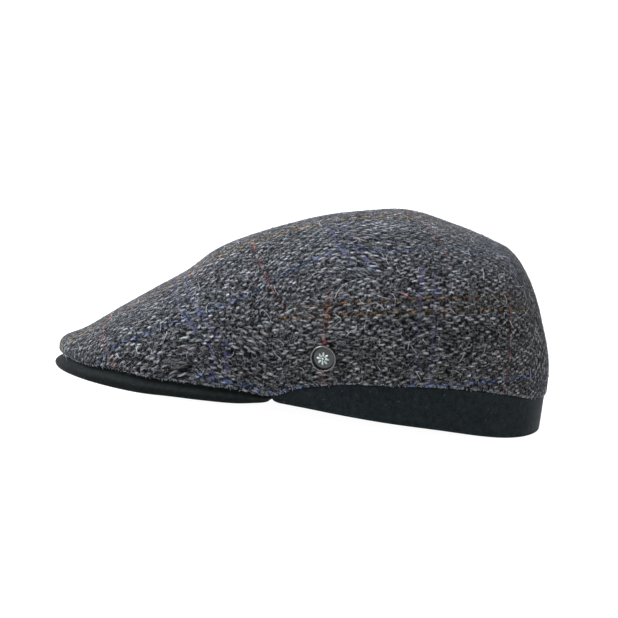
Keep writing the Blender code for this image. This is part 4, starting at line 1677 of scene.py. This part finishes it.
class FLATCAP_OT_badge(bpy.types.Operator):
    """Build the badge: a polished ring, a dark domed face and a raised rosette."""

    bl_idname = "flat_cap.badge"
    bl_label = "Badge"

    def execute(self, context):
        self.build_ring()
        self.build_face()
        self.build_rosette()
        return {"FINISHED"}

    def build_ring(self):
        """Ring cut from a disc, with rounded edges."""
        height = sizes().badge_height
        deselect_all()
        bpy.ops.mesh.primitive_cylinder_add(
            vertices=ROUND_STEPS, radius=sizes().badge_diameter / 2, depth=height,
            location=(0, 0, height / 2))
        item = bpy.context.object
        name_piece(item, "badge_ring")
        bpy.ops.object.transform_apply(location=True, rotation=False, scale=False)
        faces_where(lambda face: abs(face.normal.z) > 0.5)
        bpy.ops.mesh.inset(thickness=sizes().badge_ring)
        bpy.ops.mesh.bridge_edge_loops()
        bpy.ops.object.mode_set(mode="OBJECT")
        bevel = item.modifiers.new("round", "BEVEL")
        bevel.width = sizes().badge_ring * RING_ROUND
        bevel.segments = 4
        bevel.limit_method = "ANGLE"
        bpy.ops.object.modifier_apply(modifier="round")
        close_up()
        bpy.ops.object.shade_smooth()
        pin_to_cap(item)
        material = metal("ring_metal", colours().ring, roughness=0.26)
        finish_piece(item, material, "badge_rim")

    def build_face(self):
        """Domed face that fills the ring."""
        reach = sizes().badge_diameter / 2 - sizes().badge_ring - FACE_CLEARANCE
        base = sizes().badge_height - sizes().badge_recess
        deselect_all()
        rise = sizes().badge_dome
        ball = (reach ** 2 + rise ** 2) / (2 * rise)
        bpy.ops.mesh.primitive_uv_sphere_add(
            segments=64, ring_count=128, radius=ball, location=(0, 0, base + rise - ball))
        item = bpy.context.object
        name_piece(item, "badge_dome")
        bpy.ops.object.transform_apply(location=True, rotation=False, scale=False)
        edit_whole()
        bpy.ops.mesh.bisect(
            plane_co=(0, 0, base), plane_no=(0, 0, 1), clear_inner=True, use_fill=True,
            threshold=0.00001)
        bpy.ops.object.mode_set(mode="OBJECT")
        faces_where(lambda face: face.normal.z < -0.9 and face.area > reach * reach)
        bpy.ops.mesh.extrude_region_move(TRANSFORM_OT_translate={"value": (0, 0, FACE_FOOT - base)})
        bpy.ops.object.mode_set(mode="OBJECT")
        close_up()
        bpy.ops.object.shade_smooth_by_angle(angle=math.radians(40))
        pin_to_cap(item)
        finish_piece(item, lacquer("face_lacquer", colours().face), "badge_face")

    def build_rosette(self):
        """Petals round a middle bead, on the face's dome."""
        radius = sizes().rosette_diameter / 2
        height = sizes().rosette_height
        deselect_all()
        petal = add_ball(
            16, 10, (radius * PETAL_LENGTH, radius * PETAL_WIDTH, height),
            (radius * PETAL_OUT, 0.0, -ROSETTE_SINK))
        parts = [petal]
        for i in range(1, sizes().rosette_petals):
            copy = petal.copy()
            copy.data = petal.data.copy()
            copy.data.transform(Matrix.Rotation(2 * math.pi * i / sizes().rosette_petals, 4, "Z"))
            bpy.context.scene.collection.objects.link(copy)
            parts.append(copy)
        bead = (radius * BEAD_RADIUS, radius * BEAD_RADIUS, height * BEAD_HEIGHT)
        parts.append(add_ball(20, 12, bead, (0.0, 0.0, 0.0)))
        deselect_all()
        for item in parts:
            item.select_set(True)
        bpy.context.view_layer.objects.active = petal
        bpy.ops.object.join()
        item = bpy.context.object
        name_piece(item, "badge_petals")
        foot = sizes().badge_height - sizes().badge_recess + sizes().badge_dome - ROSETTE_SINK
        item.data.transform(Matrix.Translation((0.0, 0.0, foot)))
        bpy.ops.object.shade_smooth()
        pin_to_cap(item)
        material = metal("rosette_metal", colours().rosette, roughness=0.30)
        finish_piece(item, material, "badge_rosette")


def strand(points, radius):
    """Closed three-sided tube along each row of points, pointed at its end: vertices and faces."""
    count, steps, _ = points.shape
    path = unit(np.gradient(points, axis=1))
    side = unit(np.cross(path, np.array(STRAND_SLANT)))
    other = np.cross(path, side)
    thin = radius[:, None] * np.linspace(1.0, STRAND_TIP, steps)[None, :]
    rings = [
        points + (side * math.cos(turn) + other * math.sin(turn)) * thin[..., None]
        for turn in (0.0, 2 * math.pi / 3, 4 * math.pi / 3)
    ]
    vertices = np.stack(rings, axis=2).reshape(count, steps * 3, 3)
    faces = []
    for row in range(steps - 1):
        for i in range(3):
            j = (i + 1) % 3
            low, high = row * 3, row * 3 + 3
            faces.append((low + i, low + j, high + j))
            faces.append((low + i, high + j, high + i))
    last = (steps - 1) * 3
    faces.append((2, 1, 0))
    faces.append((last, last + 1, last + 2))
    offset = np.arange(count)[:, None, None] * steps * 3
    return vertices.reshape(-1, 3), (np.array(faces)[None] + offset).reshape(-1, 3)


def add_strands(name, parts):
    """One mesh of many small closed strands."""
    vertices, faces, start = [], [], 0
    for points, triangles in parts:
        vertices.append(points)
        faces.append(triangles + start)
        start += len(points)
    mesh = bpy.data.meshes.new(name)
    mesh.from_pydata(np.concatenate(vertices).tolist(), [], np.concatenate(faces).tolist())
    item = bpy.data.objects.new(name, mesh)
    bpy.context.scene.collection.objects.link(item)
    deselect_all()
    item.select_set(True)
    bpy.context.view_layer.objects.active = item
    bpy.ops.object.shade_smooth()
    return item


def scatter(count, generator):
    """Random places on the crown, evenly spread: stations and shares."""
    stations, shares = SCATTER_GRID
    station = np.linspace(SCATTER_FROM, SCATTER_TO, stations)
    share = np.linspace(-1.0, 1.0, shares)
    grid = crown_points(station[:, None], share[None, :])
    along = np.linalg.norm(np.diff(grid, axis=0), axis=-1)[:, :-1]
    across = np.linalg.norm(np.diff(grid, axis=1), axis=-1)[:-1]
    weight = (along * across).ravel()
    chosen = generator.choice(len(weight), size=count, p=weight / weight.sum())
    row, place = np.divmod(chosen, along.shape[1])
    station_at = station[row] + generator.random(count) * (station[1] - station[0])
    share_at = share[place] + generator.random(count) * (share[1] - share[0])
    return station_at, np.clip(share_at, -1.0, 1.0)


def along_rim(count, generator):
    """Random places just above the crown's lower edge on both sides: stations and shares."""
    fine = np.linspace(RIM_FUZZ_FROM, LAST, FINE_STEPS)
    travelled = lengths_along(rim_points(fine), 0)
    station = np.interp(generator.random(count) * travelled[-1], travelled, fine)
    share = 1.0 - RIM_FUZZ_SHARE * (0.3 + generator.random(count))
    return station, share * np.where(generator.random(count) < 0.5, -1.0, 1.0)


def fibres(kind, station, share, generator, clear=0.0):
    """Strands of one kind that leave the cloth at random headings from these places."""
    count = len(station)
    length = kind.length + kind.longer * generator.random(count) ** kind.power
    lift = kind.lift + kind.steeper * generator.random(count)
    base = crown_points(station, share)
    normal = crown_normals(station, share)
    away = crown_points(station + MEASURE_STEP, share) - crown_points(station - MEASURE_STEP, share)
    away = unit(away)
    across = np.cross(normal, away)
    heading = generator.random(count) * 2 * math.pi
    bend = (generator.random(count) - 0.5) * 2 * kind.curl
    points = [base + normal * (clear + np.full(count, FIBRE_LIFT))[:, None]]
    for step in range(1, kind.steps):
        share_of = step / (kind.steps - 1)
        turn = heading + bend * share_of
        level = away * np.cos(turn)[:, None] + across * np.sin(turn)[:, None]
        rise = lift * math.sin(math.pi * share_of * kind.arch)
        direction = unit(level + normal * rise[:, None])
        points.append(points[-1] + direction * (length / (kind.steps - 1))[:, None])
    return strand(np.stack(points, axis=1), kind.radius + kind.thicker * generator.random(count))


def marked_paths(marks):
    """Paths over the cloth through the places of each mark, and half their widths."""
    paths = []
    for mark in marks:
        along = np.linspace(0.0, len(mark.places) - 1.0, MARK_STEPS)
        station, share = [
            smooth(range(len(mark.places)), values, along)
            for values in zip(*mark.places)
        ]
        lift = MARK_LIFT + mark.width / 2
        paths.append(crown_points(station, share) + crown_normals(station, share) * lift)
    return np.stack(paths), np.array([mark.width / 2 for mark in marks])


class FLATCAP_OT_loose_fibres(bpy.types.Operator):
    """Scatter short fuzz and long pale hairs over the tweed, and lay the marked fibres."""

    bl_idname = "flat_cap.loose_fibres"
    bl_label = "Loose fibres"

    def execute(self, context):
        generator = np.random.default_rng(SEED)
        parts = [fibres(FUZZ, *scatter(sizes().fuzz_count, generator), generator)]
        station, share = scatter(sizes().hair_count, generator)
        share = share * HAIR_LIMIT
        away = crown_points(station, share) - np.array(badge_place().translation)
        clear = np.linalg.norm(away, axis=-1) > HAIR_CLEARANCE
        parts.append(fibres(HAIR, station[clear], share[clear], generator))
        station, share = along_rim(sizes().rim_fuzz_count, generator)
        parts.append(fibres(RIM_FUZZ, station, share, generator, stand_out(station)))
        self.lay("loose_fibres", parts, colours().hair)
        self.lay("pale_hairs", [strand(*marked_paths(PALE_MARKS))], colours().pale_hair)
        self.lay("salmon_nep", [strand(*marked_paths(SALMON_MARKS))], colours().salmon)
        self.lay("straw_fibre", [strand(*marked_paths(STRAW_MARKS))], colours().straw)
        return {"FINISHED"}

    def lay(self, name, parts, colour):
        """One piece of strands in one colour."""
        item = add_strands(name, parts)
        item.data.materials.append(fibre_wool(name, colour))
        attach(item, BODY)


def add_light(name, lamp, power, tint):
    """Soft square light that looks at a point and that the camera doesn't see."""
    light = bpy.data.lights.new(name, "AREA")
    light.energy = power
    light.color = tint
    light.shape = "RECTANGLE"
    light.size, light.size_y = lamp.size
    item = bpy.data.objects.new(name, light)
    item.location = lamp.place
    item.rotation_mode = "QUATERNION"
    item.rotation_quaternion = (Vector(lamp.target) - Vector(lamp.place)).to_track_quat("-Z", "Y")
    item.visible_camera = False
    bpy.context.scene.collection.objects.link(item)


class FLATCAP_OT_stage(bpy.types.Operator):
    """Build the pale backdrop, the lights and the camera."""

    bl_idname = "flat_cap.stage"
    bl_label = "Stage"

    def execute(self, context):
        stage = context.scene.flat_cap_stage
        self.build_backdrop(stage)
        self.build_lights(context.scene, stage)
        self.build_camera(context.scene, stage)
        context.scene.view_settings.view_transform = "Standard"
        return {"FINISHED"}

    def build_backdrop(self, stage):
        """Round floor that curves up into a wall."""
        deselect_all()
        bpy.ops.mesh.primitive_circle_add(
            vertices=ROUND_STEPS, radius=stage.floor_radius, fill_type="NGON", location=(0, 0, 0))
        item = bpy.context.object
        name_piece(item, "backdrop")
        edit_whole()
        bpy.ops.mesh.inset(thickness=0.02)
        bpy.ops.mesh.select_all(action="DESELECT")
        bpy.ops.object.mode_set(mode="OBJECT")
        for vertex in item.data.vertices:
            vertex.select = vertex.co.length > stage.floor_radius - 0.001
        bpy.ops.object.mode_set(mode="EDIT")
        bpy.ops.mesh.select_mode(type="EDGE")
        radius, height = stage.floor_radius, 0.0
        places = [
            (stage.floor_radius + stage.cove_radius * math.sin(turn),
             stage.cove_radius * (1 - math.cos(turn)))
            for turn in np.linspace(0.0, math.pi / 2, COVE_STEPS + 1)[1:]
        ]
        places.append((stage.floor_radius + stage.cove_radius, stage.wall_height))
        for wide, high in places:
            bpy.ops.mesh.extrude_region_move(TRANSFORM_OT_translate={"value": (0, 0, high - height)})
            share = wide / radius
            bpy.ops.transform.resize(value=(share, share, 1.0), center_override=(0, 0, 0))
            radius, height = wide, high
        bpy.ops.mesh.select_all(action="SELECT")
        bpy.ops.mesh.normals_make_consistent(inside=True)
        bpy.ops.object.mode_set(mode="OBJECT")
        bpy.ops.object.shade_smooth()
        item.data.materials.append(backdrop_paint(colours().floor, stage.glow))

    def build_lights(self, scene, stage):
        """Overhead key light, softer ones before the peak and behind, and white surroundings."""
        add_light("key_light", KEY_LAMP, stage.key_power, stage.key_tint)
        add_light("front_light", FRONT_LAMP, stage.front_power, stage.front_tint)
        add_light("back_light", BACK_LAMP, stage.back_power, WHITE)
        world = bpy.data.worlds.new("studio")
        world.use_nodes = True
        background = world.node_tree.nodes["Background"]
        background.inputs["Color"].default_value = (*WHITE, 1.0)
        background.inputs["Strength"].default_value = stage.world_strength
        scene.world = world

    def build_camera(self, scene, stage):
        """Camera at the wearer's left, a little above the level and turned about its axis."""
        data = bpy.data.cameras.new("camera")
        data.lens = stage.lens
        data.sensor_width = stage.sensor
        up, roll = stage.elevation, stage.roll
        back = Vector((math.cos(up), 0.0, math.sin(up)))
        level = Vector((0.0, 1.0, 0.0))
        raised = Vector((-math.sin(up), 0.0, math.cos(up)))
        right = level * math.cos(roll) + raised * math.sin(roll)
        over = raised * math.cos(roll) - level * math.sin(roll)
        turn = Matrix((right, over, back)).transposed().to_4x4()
        item = bpy.data.objects.new("camera", data)
        item.matrix_world = Matrix.Translation(Vector(stage.target) + back * stage.distance) @ turn
        scene.collection.objects.link(item)
        scene.camera = item


class FLATCAP_PT_builder(bpy.types.Panel):
    """Lists the cap's sizes and its operators."""

    bl_idname = "FLATCAP_PT_builder"
    bl_label = "Flat cap"
    bl_space_type = "VIEW_3D"
    bl_region_type = "UI"
    bl_category = "Flat cap"

    def draw(self, context):
        for operator in OPERATORS:
            self.layout.operator(operator.bl_idname)
        for name in ("flat_cap_sizes", "flat_cap_colours", "flat_cap_weave", "flat_cap_stage"):
            group = getattr(context.scene, name)
            box = self.layout.box()
            for key in group.bl_rna.properties.keys():
                if key not in ("rna_type", "name"):
                    box.prop(group, key)


OPERATORS = (
    FLATCAP_OT_crown_top,
    FLATCAP_OT_crown_sides,
    FLATCAP_OT_band,
    FLATCAP_OT_peak,
    FLATCAP_OT_badge,
    FLATCAP_OT_loose_fibres,
    FLATCAP_OT_stage,
)
GROUPS = (
    ("flat_cap_sizes", CapSizes),
    ("flat_cap_colours", CapColours),
    ("flat_cap_weave", WeaveSettings),
    ("flat_cap_stage", StageSettings),
)


def register():
    """Make the settings, operators and panel known."""
    for name, group in GROUPS:
        bpy.utils.register_class(group)
        setattr(bpy.types.Scene, name, PointerProperty(type=group))
    for operator in OPERATORS:
        bpy.utils.register_class(operator)
    bpy.utils.register_class(FLATCAP_PT_builder)


def unregister():
    """Take the settings, operators and panel away again."""
    bpy.utils.unregister_class(FLATCAP_PT_builder)
    for operator in reversed(OPERATORS):
        bpy.utils.unregister_class(operator)
    for name, group in reversed(GROUPS):
        delattr(bpy.types.Scene, name)
        bpy.utils.unregister_class(group)


def main():
    """Build every piece."""
    register()
    bpy.ops.flat_cap.crown_top()
    bpy.ops.flat_cap.crown_sides()
    bpy.ops.flat_cap.band()
    bpy.ops.flat_cap.peak()
    bpy.ops.flat_cap.badge()
    bpy.ops.flat_cap.loose_fibres()
    bpy.ops.flat_cap.stage()
    bpy.context.view_layer.update()


if __name__ == "__main__":
    main()
